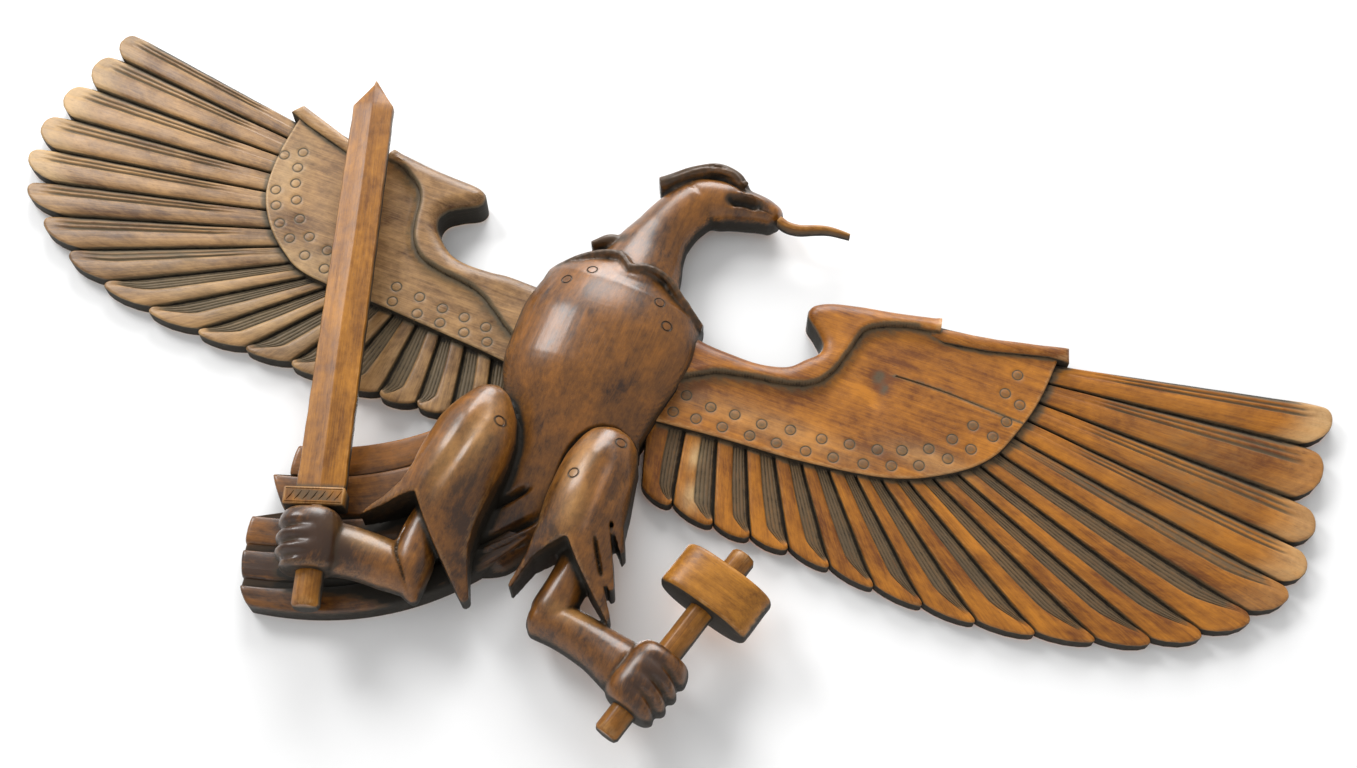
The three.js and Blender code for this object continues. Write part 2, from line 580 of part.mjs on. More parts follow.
const eagle = new THREE.Group();
eagle.add(mesh('body', bodySolid(), WOODS.body));
eagle.add(mesh('right_wing', wingSolid(RIGHT_WING), WOODS.rightWing));
eagle.add(mesh('left_wing', wingSolid(LEFT_WING), WOODS.leftWing));
eagle.add(stand(mesh('sword', swordSolid(), WOODS.sword), SWORD));
eagle.add(stand(mesh('mallet_handle', solidOf(stick(HANDLE_RADIUS, MALLET.length)), WOODS.handle), MALLET));
eagle.add(stand(mesh('mallet_head', malletHeadSolid(), WOODS.malletHead), MALLET));
eagle.add(mesh('tongue', tongueSolid(), WOODS.tongue));

export default eagle;
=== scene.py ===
import math

import bpy
import numpy as np
from bpy.props import FloatProperty, FloatVectorProperty, PointerProperty
from mathutils import Matrix, Vector
from mathutils.geometry import delaunay_2d_cdt
from mathutils.kdtree import KDTree


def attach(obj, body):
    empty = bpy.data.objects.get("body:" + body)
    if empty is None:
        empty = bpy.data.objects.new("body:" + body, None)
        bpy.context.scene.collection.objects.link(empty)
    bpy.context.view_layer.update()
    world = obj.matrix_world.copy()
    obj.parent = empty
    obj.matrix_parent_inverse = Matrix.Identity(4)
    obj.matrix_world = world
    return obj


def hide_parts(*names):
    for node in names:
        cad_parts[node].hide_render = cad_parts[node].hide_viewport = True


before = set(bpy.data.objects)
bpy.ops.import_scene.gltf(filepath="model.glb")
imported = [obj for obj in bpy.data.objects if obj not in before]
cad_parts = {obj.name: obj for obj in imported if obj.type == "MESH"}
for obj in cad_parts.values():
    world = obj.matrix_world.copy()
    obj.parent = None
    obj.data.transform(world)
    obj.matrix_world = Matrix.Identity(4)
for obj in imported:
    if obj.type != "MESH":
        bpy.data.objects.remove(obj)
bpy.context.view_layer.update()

bl_info = {
    "name": "Carved Wall Eagle",
    "version": (1, 0, 0),
    "blender": (4, 5, 0),
    "location": "3D View > Sidebar > Eagle",
    "description": "Carves and stains a wooden eagle with a sword and a mallet on a fixed frame",
    "category": "Add Mesh",
}

# Lengths are millimetres until a mesh is made. X runs along the wings, Z up to the head, and a depth is
# the distance out from the wall at y = 0. The outlines are those of the solids in the frame.
MM = 0.001
GAP = 0.3
BEHIND = 2
OVERSIZE = 700

WING_FEATHERS = 18
END_SKEW = 1.35
ROOT_CROWDING = 0.85
ROOT_INSET = 0.04
SHIELD_MIDDLE = (150, 90)
SHIELD_DEPTH = 26
BAND_DEPTH = 35
STRIP_DEPTH = 31

RIGHT_WING = {
    "side": 1,
    "seam": [(58, 95), (58, 21), (47, -37), (60, -75), (66, -101)],
    "depths": (21, 14),
    "ends": [(60, -66), (130, -75), (197, -72), (275, -78), (363, -76), (459, -55), (536, -16), (588, 49),
             (581, 127), (577, 222)],
    "bulges": [8, 8, 8, 10, 18, 26, 25],
    "shield": [(38, -13), (109, -6), (181, -1), (258, 12), (305, 35), (334, 62), (348, 95), (357, 130),
               (361, 174)],
    "shield_top": [(330, 176), (250, 166), (212, 157), (182, 128), (176, 100), (120, 66), (38, 60)],
    "band_top": [(42, 79), (67, 74), (99, 72), (121, 73), (141, 79), (153, 91), (162, 101), (162, 111),
                 (152, 122), (141, 132), (141, 143), (155, 152), (181, 159), (208, 164), (253, 174)],
    "band_foot": [(256, 158), (235, 155), (217, 150), (202, 143), (192, 133), (187, 110), (179, 84),
                  (167, 69), (147, 61), (118, 56), (87, 49), (66, 37), (42, 22)],
    "strip": [(247, 154), (244, 163), (256, 164), (305, 172), (367, 187), (371, 173), (352, 172),
              (300, 158), (262, 152)],
    "rings": [(63, 2), (84, 3), (108, 4), (133, 5), (157, 7), (183, 9), (207, 12), (233, 16), (256, 23),
              (278, 32), (299, 47), (315, 63), (329, 81), (336, 99), (342, 119), (68, 21), (92, 18),
              (114, 19), (139, 19), (164, 23), (192, 25), (216, 29), (240, 33), (260, 40), (281, 50),
              (297, 66), (310, 85), (327, 125), (332, 146)],
    "quilled_from": (11.5, 15),
    "crack": [(233, 106), (264, 107), (296, 106), (324, 104), (346, 103)],
    "knot": [(220, 95), (224, 76)],
    "halo": 0.42,
    "marks": [((219, 99), (6, 8), 0.6, "wax_and_shade"), ((227, 90), (4, 6), 0.55, "wax_and_shade"), ((215, 146), (14, 9), 0.35, "wax_and_shade"),
              ((219, 97), (13, 14), -3.2, "tone"), ((228, 88), (9, 10), -2.0, "tone"),
              ((209, 82), (10, 7), 3.0, "tone"), ((223, 73), (6, 5), 3.0, "tone"), ((150, 20), (90, 14), 0.2, "bare"),
              ((97, -26), (7, 12), 0.9, "bare"), ((106, -60), (8, 14), 0.8, "bare"), ((285, 40), (40, 12), 0.25, "bare"),
              ((80, 24), (40, 22), -1.2, "tone"), ((230, 120), (26, 20), -0.8, "tone"),
              ((500, 110), (110, 110), 0.27, "wax_and_shade")],
}
LEFT_WING = {
    "side": -1,
    "seam": [(92, 95), (92, 11), (80, -43), (78, -74)],
    "depths": (19, 15),
    "ends": [(70, -58), (122, -62), (188, -68), (273, -70), (364, -71), (463, -57), (538, -12), (581, 48),
             (580, 123), (567, 192)],
    "bulges": [8, 8, 8, 17, 33, 27, 17],
    "shield": [(72, -10), (110, -5), (159, -1), (222, 4), (296, 8), (329, 23), (355, 46), (373, 76),
               (380, 116), (380, 158)],
    "shield_top": [(345, 158), (280, 146), (245, 142), (220, 120), (205, 90), (185, 70), (140, 56),
                   (72, 40)],
    "band_top": [(80, 71), (122, 72), (142, 70), (165, 70), (184, 75), (202, 90), (208, 101), (206, 112),
                 (195, 121), (180, 130), (178, 141), (190, 148), (235, 151), (277, 157)],
    "band_foot": [(279, 143), (268, 143), (253, 135), (239, 125), (232, 113), (227, 92), (220, 74),
                  (208, 61), (189, 54), (155, 49), (139, 44), (124, 35), (108, 24), (80, 6)],
    "strip": [(284, 131), (286, 143), (325, 152), (381, 171), (389, 160), (368, 152), (320, 138),
              (294, 132)],
    "rings": [(374, 115), (364, 78), (356, 63), (344, 47), (328, 36), (307, 25), (284, 19), (212, 11),
              (186, 8), (163, 7), (139, 6), (116, 5), (359, 124), (356, 107), (350, 91), (341, 75),
              (329, 58), (312, 44), (290, 37), (215, 26), (191, 24), (167, 21), (145, 20), (123, 18)],
    "quilled_from": (8.5, 11),
    "crack": [],
    "knot": [],
    "halo": 0.0,
    "marks": [((417, -12), (18, 5), 0.5, "wax_and_shade"), ((300, 20), (60, 16), 0.3, "bare"),
              ((362, 100), (16, 40), 0.35, "bare"), ((330, -40), (130, 34), 0.3, "bare")],
}

# A station is across, up, depth of the middle, half width, half depth.
TRUNK = [(-15, 130, 22, 26, 24), (-17, 116, 18, 54, 36), (-19, 90, 14, 78, 50), (-18, 45, 12, 87, 58),
         (-20, 0, 12, 82, 56), (-20, -40, 10, 72, 44), (-28, -85, 6, 56, 32), (-38, -130, 2, 48, 27),
         (-48, -170, 0, 34, 24), (-56, -190, 0, 12, 12)]
NECK = [(-18, 96, 20, 46, 40), (-17, 122, 20, 40, 33), (-16, 144, 20, 34, 28), (-12, 166, 20, 28, 25),
        (-5, 188, 20, 26, 24), (6, 208, 20, 25, 24)]
HEAD = [(-6, 200, 20, 16, 16), (6, 211, 20, 25, 23), (28, 218, 20, 25, 25), (48, 219, 20, 19, 23),
        (66, 220, 20, 15.5, 21), (78, 218, 20, 12, 18), (83, 216, 20, 5, 10)]
CREST = [(-33, 211, 24, 8, 15), (-24, 216, 24, 9, 18), (-6, 230, 24, 9, 22), (14, 241, 24, 8, 23),
         (34, 240, 24, 7, 20), (46, 233, 24, 4, 12)]
NAPE_TUFT = [(-66, 127, 26, 4, 12), (-52, 137, 26, 8, 14), (-40, 140, 26, 8, 12)]
COLLARS = [
    [(-84, 95, 26, 3, 8), (-72, 102, 41, 3.4, 5), (-52, 113, 49, 3.2, 4), (-33, 116, 54, 3.2, 4),
     (-18, 105, 58, 3.2, 4)],
    [(-20, 104, 58, 3.2, 4), (-4, 111, 56, 3.2, 4), (14, 110, 52, 3.2, 4), (33, 98, 45, 3.4, 5),
     (60, 84, 24, 3, 8)],
]
# A thigh is a limb that spreads downwards, trimmed to an outline that ends in pointed feather tips.
THIGHS = [
    {"stations": [(-78, -44, 42, 6, 12), (-79, -56, 44, 22, 28), (-80, -88, 46, 36, 38),
                  (-80, -118, 47, 39, 40), (-82, -150, 46, 43, 35), (-86, -184, 42, 62, 26),
                  (-86, -216, 37, 72, 19), (-84, -236, 34, 72, 16)],
     "outline": [(-80, -44), (-92, -50), (-106, -70), (-113, -92), (-116, -115), (-114, -138), (-117, -157),
                 (-125, -172), (-135, -184), (-141, -194), (-122, -179), (-110, -168), (-101, -162),
                 (-86, -179), (-69, -196), (-50, -213), (-31, -229), (-27, -224), (-36, -205), (-43, -186),
                 (-45, -165), (-44, -135), (-43, -110), (-46, -85), (-53, -66), (-66, -50)]},
    {"stations": [(30, -42, 40, 8, 10), (30, -54, 42, 25, 27), (31, -80, 44, 34, 36), (33, -110, 44, 38, 39),
                  (36, -140, 43, 43, 35), (39, -170, 40, 54, 28), (42, -206, 36, 62, 20)],
     "outline": [(30, -44), (13, -50), (3, -60), (-1, -74), (-2, -98), (-1, -124), (3, -150), (4, -175),
                 (-1, -203), (2, -204), (10, -176), (20, -163), (31, -152), (46, -168), (63, -183),
                 (86, -202), (87, -197), (75, -180), (69, -170), (79, -179), (82, -176), (71, -152),
                 (64, -139), (57, -126), (60, -125), (67, -137), (76, -147), (78, -143), (70, -125),
                 (67, -105), (63, -86), (60, -70), (54, -56), (43, -47)]},
]
FORELEGS = [
    [(-84, -150, 38, 16, 18), (-87, -185, 42, 17, 19), (-83, -214, 44, 18, 20), (-73, -235, 42, 10, 14),
     (-67, -243, 42, 3, 6)],
    [(-74, -226, 42, 15, 17), (-100, -222, 44, 21, 20), (-130, -223, 46, 22, 19), (-154, -228, 50, 24, 20)],
    [(40, -140, 34, 16, 18), (42, -172, 34, 17, 19), (38, -204, 32, 18, 20), (34, -224, 30, 10, 14)],
    [(22, -214, 29, 9, 12), (29, -214, 29, 17, 19), (52, -214, 30, 19, 21), (84, -221, 34, 20, 21),
     (112, -230, 38, 24, 22)],
]
# Small lumps: the brow over the eye, the eye, and the lips beside the mouth.
LUMPS = [
    [(2, 233, 40, 2.5, 4), (14, 237, 43, 3.5, 5), (28, 237, 44, 3.5, 5), (38, 234, 40, 2.5, 4)],
    [(40, 232, 44, 2, 2), (43, 232, 45, 3.2, 3.5), (46, 231, 44, 2, 2)],
    [(34, 218, 40, 2, 3), (46, 223, 41, 2.5, 4), (60, 223, 39, 2.5, 4), (74, 220, 36, 2, 3)],
]
TAIL_ENDS = [((-228, -143), (-222, -171)), ((-237, -175), (-210, -203)), ((-235, -216), (-228, -241)),
             ((-228, -246), (-216, -269)), ((-216, -275), (-200, -289))]
TAIL_ROOTS = [(-88, -40), (-78, -72), (-55, -125), (-42, -146), (-28, -150), (-8, -148)]
TAIL_BOWS = [17, 17, 11, 12, 20, 30]
TAIL_DEPTH = 21

SWORD = {"x": -144, "z": -282, "depth": 55, "lean": -19.4}
GRIP_LENGTH = 86
GUARD_HEIGHT = 16
SWORD_LENGTH = 514
GRIP_RADIUS = 12
GUARD_HALF = (25.5, 11)
GUARD_ASIDE = -3.5
BLADE_HALF = (20.5, 18.5)
BLADE_EDGE = 5
BLADE_RIDGE = 7.5
POINT = 28
MALLET = {"x": 119, "z": -286, "depth": 42, "lean": 15.6}
HANDLE_LENGTH = 187
HANDLE_RADIUS = 11.3
MALLET_HALF = (43, 25)
MALLET_HEIGHT = 40
MALLET_AT = 147
LEFT_CLAW = {"from": 30, "to": 83, "aside": -4, "half": (27, 25), "grooves": (0.17, 0.41, 0.66), "side": -1,
             "bend": 0.04, "tool": SWORD}
RIGHT_CLAW = {"from": 24, "to": 82, "aside": 1, "half": (27, 26), "grooves": (0.28, 0.52, 0.76), "side": 1,
              "bend": 0.10, "tool": MALLET}
CLAW_END = 0.62
CLAW_SQUARENESS = 2.5
CLAW_GROOVE = 4.8
CLAW_GROOVE_HALF = 0.055
TONGUE = [(83.5, 214), (92, 211), (104, 212), (118, 218), (131, 222), (149, 223)]

# Where the knife cut into the body: a sharp chip, a chip that stays below the legs or a soft valley, its
# half width and deepness, then its line across and up.
CUTS = [
    ("belly chip", 5, 9, [(-50, -141), (-38, -128), (-22, -109)]),
    ("belly chip", 5, 9, [(-56, -182), (-30, -156), (-4, -128)]),
    ("belly chip", 3, 3, [(-50, -190), (-30, -172), (-6, -150)]),
    ("valley", 7, 9, [(34, 211), (48, 216), (64, 217)]),
    ("chip", 2.5, 2.5, [(60, 217), (70, 216), (82, 215)]),
    ("chip", 2.5, 3, [(6, 228), (20, 231), (36, 229), (48, 225)]),
    ("chip", 2.2, 2, [(-26, 206), (-8, 221), (10, 231), (30, 235)]),
    ("chip", 2.2, 2, [(-28, 213), (-12, 227), (6, 238), (28, 241)]),
    ("valley", 10, 3, [(36, -66), (37, -93), (38, -115), (38, -135), (40, -158)]),
    ("valley", 8, 2, [(54, -84), (55, -100), (53, -118)]),
    ("chip", 3, 4, [(-4, -112), (-4, -76), (3, -56), (20, -42), (40, -42), (56, -52), (63, -68), (66, -92)]),
    ("valley", 10, 3, [(-76, -66), (-76, -95), (-80, -126), (-86, -153), (-82, -176)]),
    ("chip", 2.5, 3, [(-99, -168), (-100, -190), (-97, -210), (-84, -226), (-70, -242)]),
    ("chip", 3, 6, [(51, -142), (58, -154), (65, -165), (71, -174)]),
]
BELLY_DEPTH = 38
BODY_RINGS = [(-67, 75), (-49, 91), (19, 82), (33, 63), (-60, -80), (16, -102), (41, -60)]


# Lines and skins

def spline(points, t, even=True):
    """A smooth line through the points at t from 0 to 1. An uneven one minds how far the points are apart."""
    points = np.asarray(points, float)
    low = points[0] if even else 2 * points[0] - points[1]
    high = points[-1] if even else 2 * points[-1] - points[-2]
    points = np.vstack([low, points, high])
    at = np.clip(np.asarray(t, float), 0, 1) * (len(points) - 3)
    first = np.minimum(at.astype(int), len(points) - 4)
    w = (at - first)[..., None]
    a, b, c, d = (points[first + k] for k in range(4))
    if even:
        leave, arrive = (c - a) / 2, (d - b) / 2
    else:
        ab, bc, cd = (np.maximum(np.linalg.norm(v, axis=-1, keepdims=True), 1e-4) ** 0.5
                      for v in (b - a, c - b, d - c))
        leave = ((b - a) / ab - (c - a) / (ab + bc) + (c - b) / bc) * bc
        arrive = ((c - b) / bc - (d - b) / (bc + cd) + (d - c) / cd) * bc
    return ((2 * b - 2 * c + leave + arrive) * w ** 3
            + (3 * c - 3 * b - 2 * leave - arrive) * w ** 2 + leave * w + b)


def paced(points, u):
    """The smooth line at shares of its length."""
    t = np.linspace(0, 1, 401)
    steps = np.linalg.norm(np.diff(spline(points, t), axis=0), axis=1)
    run = np.concatenate([[0], np.cumsum(steps)])
    return spline(points, np.interp(u, run / run[-1], t))


def sided(points, side):
    return np.asarray(points, float) * (side, 1)


def ease(low, high, value):
    t = np.clip((np.asarray(value, float) - low) / (high - low), 0, 1)
    return t * t * (3 - 2 * t)


def waviness(x, z, size, seed):
    """A smooth unevenness from -1 to 1, as a knife leaves it."""
    random = np.random.default_rng(seed)
    total = 0
    for _ in range(5):
        turn, phase = random.uniform(0, 2 * math.pi, 2)
        stretch = random.uniform(0.6, 1.5) * 2 * math.pi / size
        total = total + np.sin((x * math.cos(turn) + z * math.sin(turn)) * stretch + phase)
    return total / 5


def skin(rings):
    """Vertices and faces of a closed skin through rings of equally many points."""
    rings = np.asarray(rings, float)
    rows, count = rings.shape[:2]
    verts = list(rings.reshape(-1, 3)) + [rings[0].mean(0), rings[-1].mean(0)]
    faces = []
    for row in range(rows - 1):
        for i in range(count):
            a, b = row * count + i, row * count + (i + 1) % count
            faces.append((a, b, b + count, a + count))
    low, high, last = rows * count, rows * count + 1, (rows - 1) * count
    for i in range(count):
        faces.append((low, (i + 1) % count, i))
        faces.append((high, last + i, last + (i + 1) % count))
    return np.array(verts), faces


def limb(stations, sides=28, steps=7):
    """A limb with an oval section that curves through its stations."""
    stations = np.asarray(stations, float)
    t = np.linspace(0, 1, (len(stations) - 1) * steps + 1)
    middle = spline(stations[:, :3] * (1, 1, -1), t, even=False)[:, [0, 2, 1]]
    size = spline(stations[:, 3:], t, even=False)
    along = np.gradient(middle, axis=0)
    along /= np.linalg.norm(along, axis=1, keepdims=True)
    sideways = np.cross(along, (0, -1, 0))
    sideways /= np.linalg.norm(sideways, axis=1, keepdims=True)
    outwards = np.cross(sideways, along)
    turn = np.linspace(0, 2 * math.pi, sides, endpoint=False)
    wide = size[:, None, :1] * np.cos(turn)[None, :, None] * sideways[:, None]
    deep = size[:, None, 1:] * np.sin(turn)[None, :, None] * outwards[:, None]
    return skin(middle[:, None] + wide + deep)


def stand(points, tool):
    """Puts points given across, back and up a tool where the tool is held."""
    points = np.asarray(points, float)
    lean = math.radians(tool["lean"])
    across, back, up = points[..., 0], points[..., 1], points[..., 2]
    return np.stack([tool["x"] + across * math.cos(lean) + up * math.sin(lean), back - tool["depth"],
                     tool["z"] - across * math.sin(lean) + up * math.cos(lean)], -1)


def stick(radius, heights, shrink=0.0, seed=0):
    """Rings of an eight-sided stick with softened corners."""
    turn = math.pi / 8 + np.repeat(np.arange(8), 2) * math.pi / 4 + np.tile([-0.09, 0.09], 8)
    heights = np.asarray(heights, float)
    ends = 1 - shrink * (1 - ease(0, 2.5, np.minimum(heights - heights[0], heights[-1] - heights)))
    rings = np.empty((len(heights), 16, 3))
    for row, height in enumerate(heights):
        uneven = 1 + 0.02 * waviness(np.cos(turn) * 20, np.full(16, height), 50, seed)
        reach = radius * ends[row] * uneven * 0.99
        rings[row] = np.stack([reach * np.cos(turn), reach * np.sin(turn), np.full(16, height)], 1)
    return rings


# Meshes

def build(name, *parts, closed=True):
    """A new object from one or more skins. A closed one is turned to face outwards."""
    verts, faces, start = [], [], 0
    for part_verts, part_faces in parts:
        verts.append(np.asarray(part_verts, float))
        faces += [tuple(int(i) + start for i in face) for face in part_faces]
        start += len(part_verts)
    data = bpy.data.meshes.new(name)
    data.from_pydata((np.vstack(verts) * MM).tolist(), [], faces)
    obj = bpy.data.objects.new(name, data)
    bpy.context.scene.collection.objects.link(obj)
    verts, corners = vertices(obj), corners_of_triangles(obj)
    a, b, c = (verts[corners[:, k]] for k in range(3))
    if closed and (a * np.cross(b, c)).sum() < 0:
        data.flip_normals()
    return obj


def settle(obj):
    """Makes what the modifiers show the object's own mesh."""
    view = bpy.context.evaluated_depsgraph_get()
    mesh = bpy.data.meshes.new_from_object(obj.evaluated_get(view))
    obj.modifiers.clear()
    obj.data = mesh


def combine(obj, *steps):
    """Joins with, cuts away or keeps inside other solids, which are used up."""
    for operation, other in steps:
        modifier = obj.modifiers.new(operation, "BOOLEAN")
        modifier.operation = operation
        modifier.solver = "MANIFOLD"
        modifier.object = other
    settle(obj)
    for _, other in steps:
        bpy.data.objects.remove(other)
    if not obj.data.polygons:
        raise RuntimeError(f"nothing is left of {obj.name}")


def normals_of(obj):
    normals = np.empty(len(obj.data.vertices) * 3, np.float32)
    obj.data.vertex_normals.foreach_get("vector", normals)
    return normals.reshape(-1, 3).astype(float)


def vertices(obj):
    verts = np.empty(len(obj.data.vertices) * 3, np.float32)
    obj.data.vertices.foreach_get("co", verts)
    return verts.reshape(-1, 3).astype(float) / MM


def move(obj, verts):
    obj.data.vertices.foreach_set("co", (verts * MM).astype(np.float32).ravel())
    obj.data.update()


def corners_of_triangles(obj):
    obj.data.calc_loop_triangles()
    corners = np.empty(len(obj.data.loop_triangles) * 3, np.int32)
    obj.data.loop_triangles.foreach_get("vertices", corners)
    return corners.reshape(-1, 3)


def prism(name, outline, near, far):
    """A straight block with the given outline, from one depth to another."""
    outline = np.asarray(outline, float)
    count = len(outline)
    verts = [(x, -depth, z) for depth in (near, far) for x, z in outline]
    faces = [tuple(range(count)), tuple(range(2 * count - 1, count - 1, -1))]
    faces += [(i, i + count, (i + 1) % count + count, (i + 1) % count) for i in range(count)]
    return build(name, (verts, faces))


def behind_wall():
    size = OVERSIZE + 100
    return prism("behind_wall", [(-size, -size), (size, -size), (size, size), (-size, size)], -size, 0)


def wing_room(wing, gap, beyond, depth):
    """The room on the outer side of a wing's seam."""
    side = wing["side"]
    seam = [(across * side + side * gap, up) for across, up in wing["seam"]]
    far = side * (OVERSIZE + 50)
    outline = [(far, seam[0][1] + beyond), (seam[0][0], seam[0][1] + beyond), *seam,
               (seam[-1][0], seam[-1][1] - beyond), (far, seam[-1][1] - beyond)]
    return prism("wing_room", outline, -OVERSIZE, depth)


def distance_to_line(points, line, closed=False):
    """How far points lie from a line, and where along it they are nearest, from 0 to 1."""
    line = np.asarray(line, float)
    starts, ends = line, np.roll(line, -1, 0)
    if not closed:
        starts, ends = line[:-1], line[1:]
    run = np.concatenate([[0], np.cumsum(np.linalg.norm(ends - starts, axis=1))])
    best, where = np.full(len(points), 1e9), np.zeros(len(points))
    for k, (start, end) in enumerate(zip(starts, ends)):
        step = end - start
        share = np.clip(((points - start) @ step) / max(step @ step, 1e-9), 0, 1)
        distance = np.linalg.norm(points - start - share[:, None] * step, axis=1)
        nearer = distance < best
        best[nearer] = distance[nearer]
        where[nearer] = (run[k] + share * (run[k + 1] - run[k]))[nearer]
    return best, where / max(run[-1], 1e-9)


def inside(points, outline):
    """Which points lie inside a closed outline."""
    x, z = points[:, 0], points[:, 1]
    found = np.zeros(len(points), bool)
    for (ax, az), (bx, bz) in zip(outline, np.roll(outline, -1, 0)):
        if az == bz:
            continue
        crosses = ((az > z) != (bz > z)) & (x < (bx - ax) * (z - az) / (bz - az) + ax)
        found ^= crosses
    return found


def fine(outline, step):
    """The closed outline with points no further apart than a step."""
    dense = []
    for start, end in zip(outline, np.roll(outline, -1, 0)):
        count = max(1, int(math.ceil(np.linalg.norm(end - start) / step)))
        dense += [start + (end - start) * k / count for k in range(count)]
    return np.array(dense)


def triangulate(points, count):
    """Triangles over points of which the first few are a closed outline."""
    made = delaunay_2d_cdt([Vector(p) for p in points], [], [list(range(count))], 1, 1e-4)
    places, faces, sources = made[0], made[2], made[3]
    if len(places) != len(points) or any(list(s) != [i] for i, s in enumerate(sources)):
        raise RuntimeError("an outline crosses itself or points fall together")
    return faces


def relief_plate(outline, depth_at, rim, spacing, detail=()):
    """A plate that stands on the wall, with a carved front. Its depth is a function of places and of their
    distance to the rim. Points are close together at the rim and at the detail."""
    outline = fine(np.asarray(outline, float), 2.2)
    ahead = np.roll(outline, -1, 0)
    if (outline[:, 0] * ahead[:, 1] - ahead[:, 0] * outline[:, 1]).sum() < 0:
        outline = outline[::-1]
    normal = (np.roll(outline, -1, 0) - np.roll(outline, 1, 0))[:, ::-1] * (-1, 1)
    normal /= np.linalg.norm(normal, axis=1, keepdims=True)
    loops = []
    for inset in (0.22 * rim, 0.55 * rim, rim, 1.5 * rim):
        loop = outline + normal * inset
        loops.append(loop[distance_to_line(loop, outline, True)[0] > 0.96 * inset])
    low, high = outline.min(0), outline.max(0)
    grid = np.stack(np.meshgrid(np.arange(low[0], high[0], spacing), np.arange(low[1], high[1], spacing)), -1)
    grid[1::2, :, 0] += spacing / 2
    grid = grid.reshape(-1, 2)
    grid = grid[distance_to_line(grid, outline, True)[0] > 1.5 * rim + 0.6 * spacing]
    chosen = [*loops, grid]
    if len(detail):
        detail = np.asarray(detail, float)
        detail = detail[distance_to_line(detail, outline, True)[0] > 0.5]
        tree = KDTree(len(detail))
        for i, (x, z) in enumerate(detail):
            tree.insert((x, z, 0), i)
        tree.balance()
        chosen = [np.array([p for p in group if tree.find((p[0], p[1], 0))[2] > 1.0]).reshape(-1, 2)
                  for group in chosen] + [detail]
    others = np.vstack(chosen)
    others = others[inside(others, outline)]
    _, keep = np.unique(np.round(others / 0.25), axis=0, return_index=True)
    others = others[np.sort(keep)]
    points = np.vstack([outline, others])
    count, total = len(outline), len(points)
    distance = np.concatenate([np.zeros(count), distance_to_line(others, outline, True)[0]])
    depth = depth_at(points, distance)
    front = np.stack([points[:, 0], -depth, points[:, 1]], 1)
    back = np.stack([outline[:, 0], np.full(count, float(BEHIND)), outline[:, 1]], 1)
    faces = [tuple(face) for face in triangulate(points, count)]
    faces += [tuple(total + i for i in reversed(face)) for face in triangulate(outline, count)]
    faces += [(i, (i + 1) % count, total + (i + 1) % count, total + i)[::-1] for i in range(count)]
    return np.vstack([front, back]), faces


def rounding(distance, radius):
    """Depth lost towards a rounded rim."""
    return radius - np.sqrt(np.maximum(radius ** 2 - (radius - np.minimum(distance, radius)) ** 2, 0))


# Feathers: part of the feather, share of that part, then the depth lost there on a feather with barbs, on
# one with a double quill and on a plain one, and the wax with painted shade that stays on the first two.
# Part 0 is the smooth vane and part 1 the strip beside it.
PROFILE = np.array([
    (0, 0.00, 5.2, 5.2, 4.4, 0.9, 0.9), (0, 0.03, 4.4, 4.4, 3.4, 0.9, 0.9), (0, 0.06, 1.0, 1.7, 1.5, 0.3, 0.5),
    (0, 0.10, 0.4, 0.9, 0.7, 0.0, 0.0), (0, 0.22, 0.1, 0.4, 0.2, 0.0, 0.0), (0, 0.45, 0.0, 0.1, 0.0, 0.0, 0.0),
    (0, 0.70, 0.1, 0.0, 0.0, 0.0, 0.0), (0, 0.88, 0.3, 0.1, 0.1, 0.0, 0.0), (0, 0.96, 0.6, 0.3, 0.1, 0.1, 0.0),
    (1, 0.00, 1.0, 0.4, 0.1, 0.4, 0.1), (1, 0.04, 2.3, 1.2, 0.1, 0.7, 0.4), (1, 0.10, 2.4, 1.8, 0.1, 0.7, 0.5),
    (1, 0.17, 1.8, 1.6, 0.2, 0.5, 0.5), (1, 0.24, 1.9, 0.6, 0.2, 0.5, 0.1), (1, 0.30, 2.7, 0.5, 0.3, 0.7, 0.0),
    (1, 0.37, 2.1, 1.1, 0.3, 0.5, 0.3), (1, 0.44, 2.2, 1.8, 0.4, 0.5, 0.5), (1, 0.50, 3.0, 1.4, 0.5, 0.7, 0.4),
    (1, 0.57, 2.4, 0.8, 0.6, 0.5, 0.1), (1, 0.64, 2.5, 0.9, 0.7, 0.5, 0.2), (1, 0.71, 3.3, 1.4, 0.9, 0.7, 0.4),
    (1, 0.79, 2.8, 2.2, 1.2, 0.6, 0.65), (1, 0.87, 4.2, 3.2, 1.9, 0.8, 0.85), (1, 0.95, 4.6, 4.4, 3.2, 0.9, 0.95),
])
END_ROWS = [0, 0.7, 1.8, 3.4, 6, 10, 16]
LENGTH_ROWS = 26


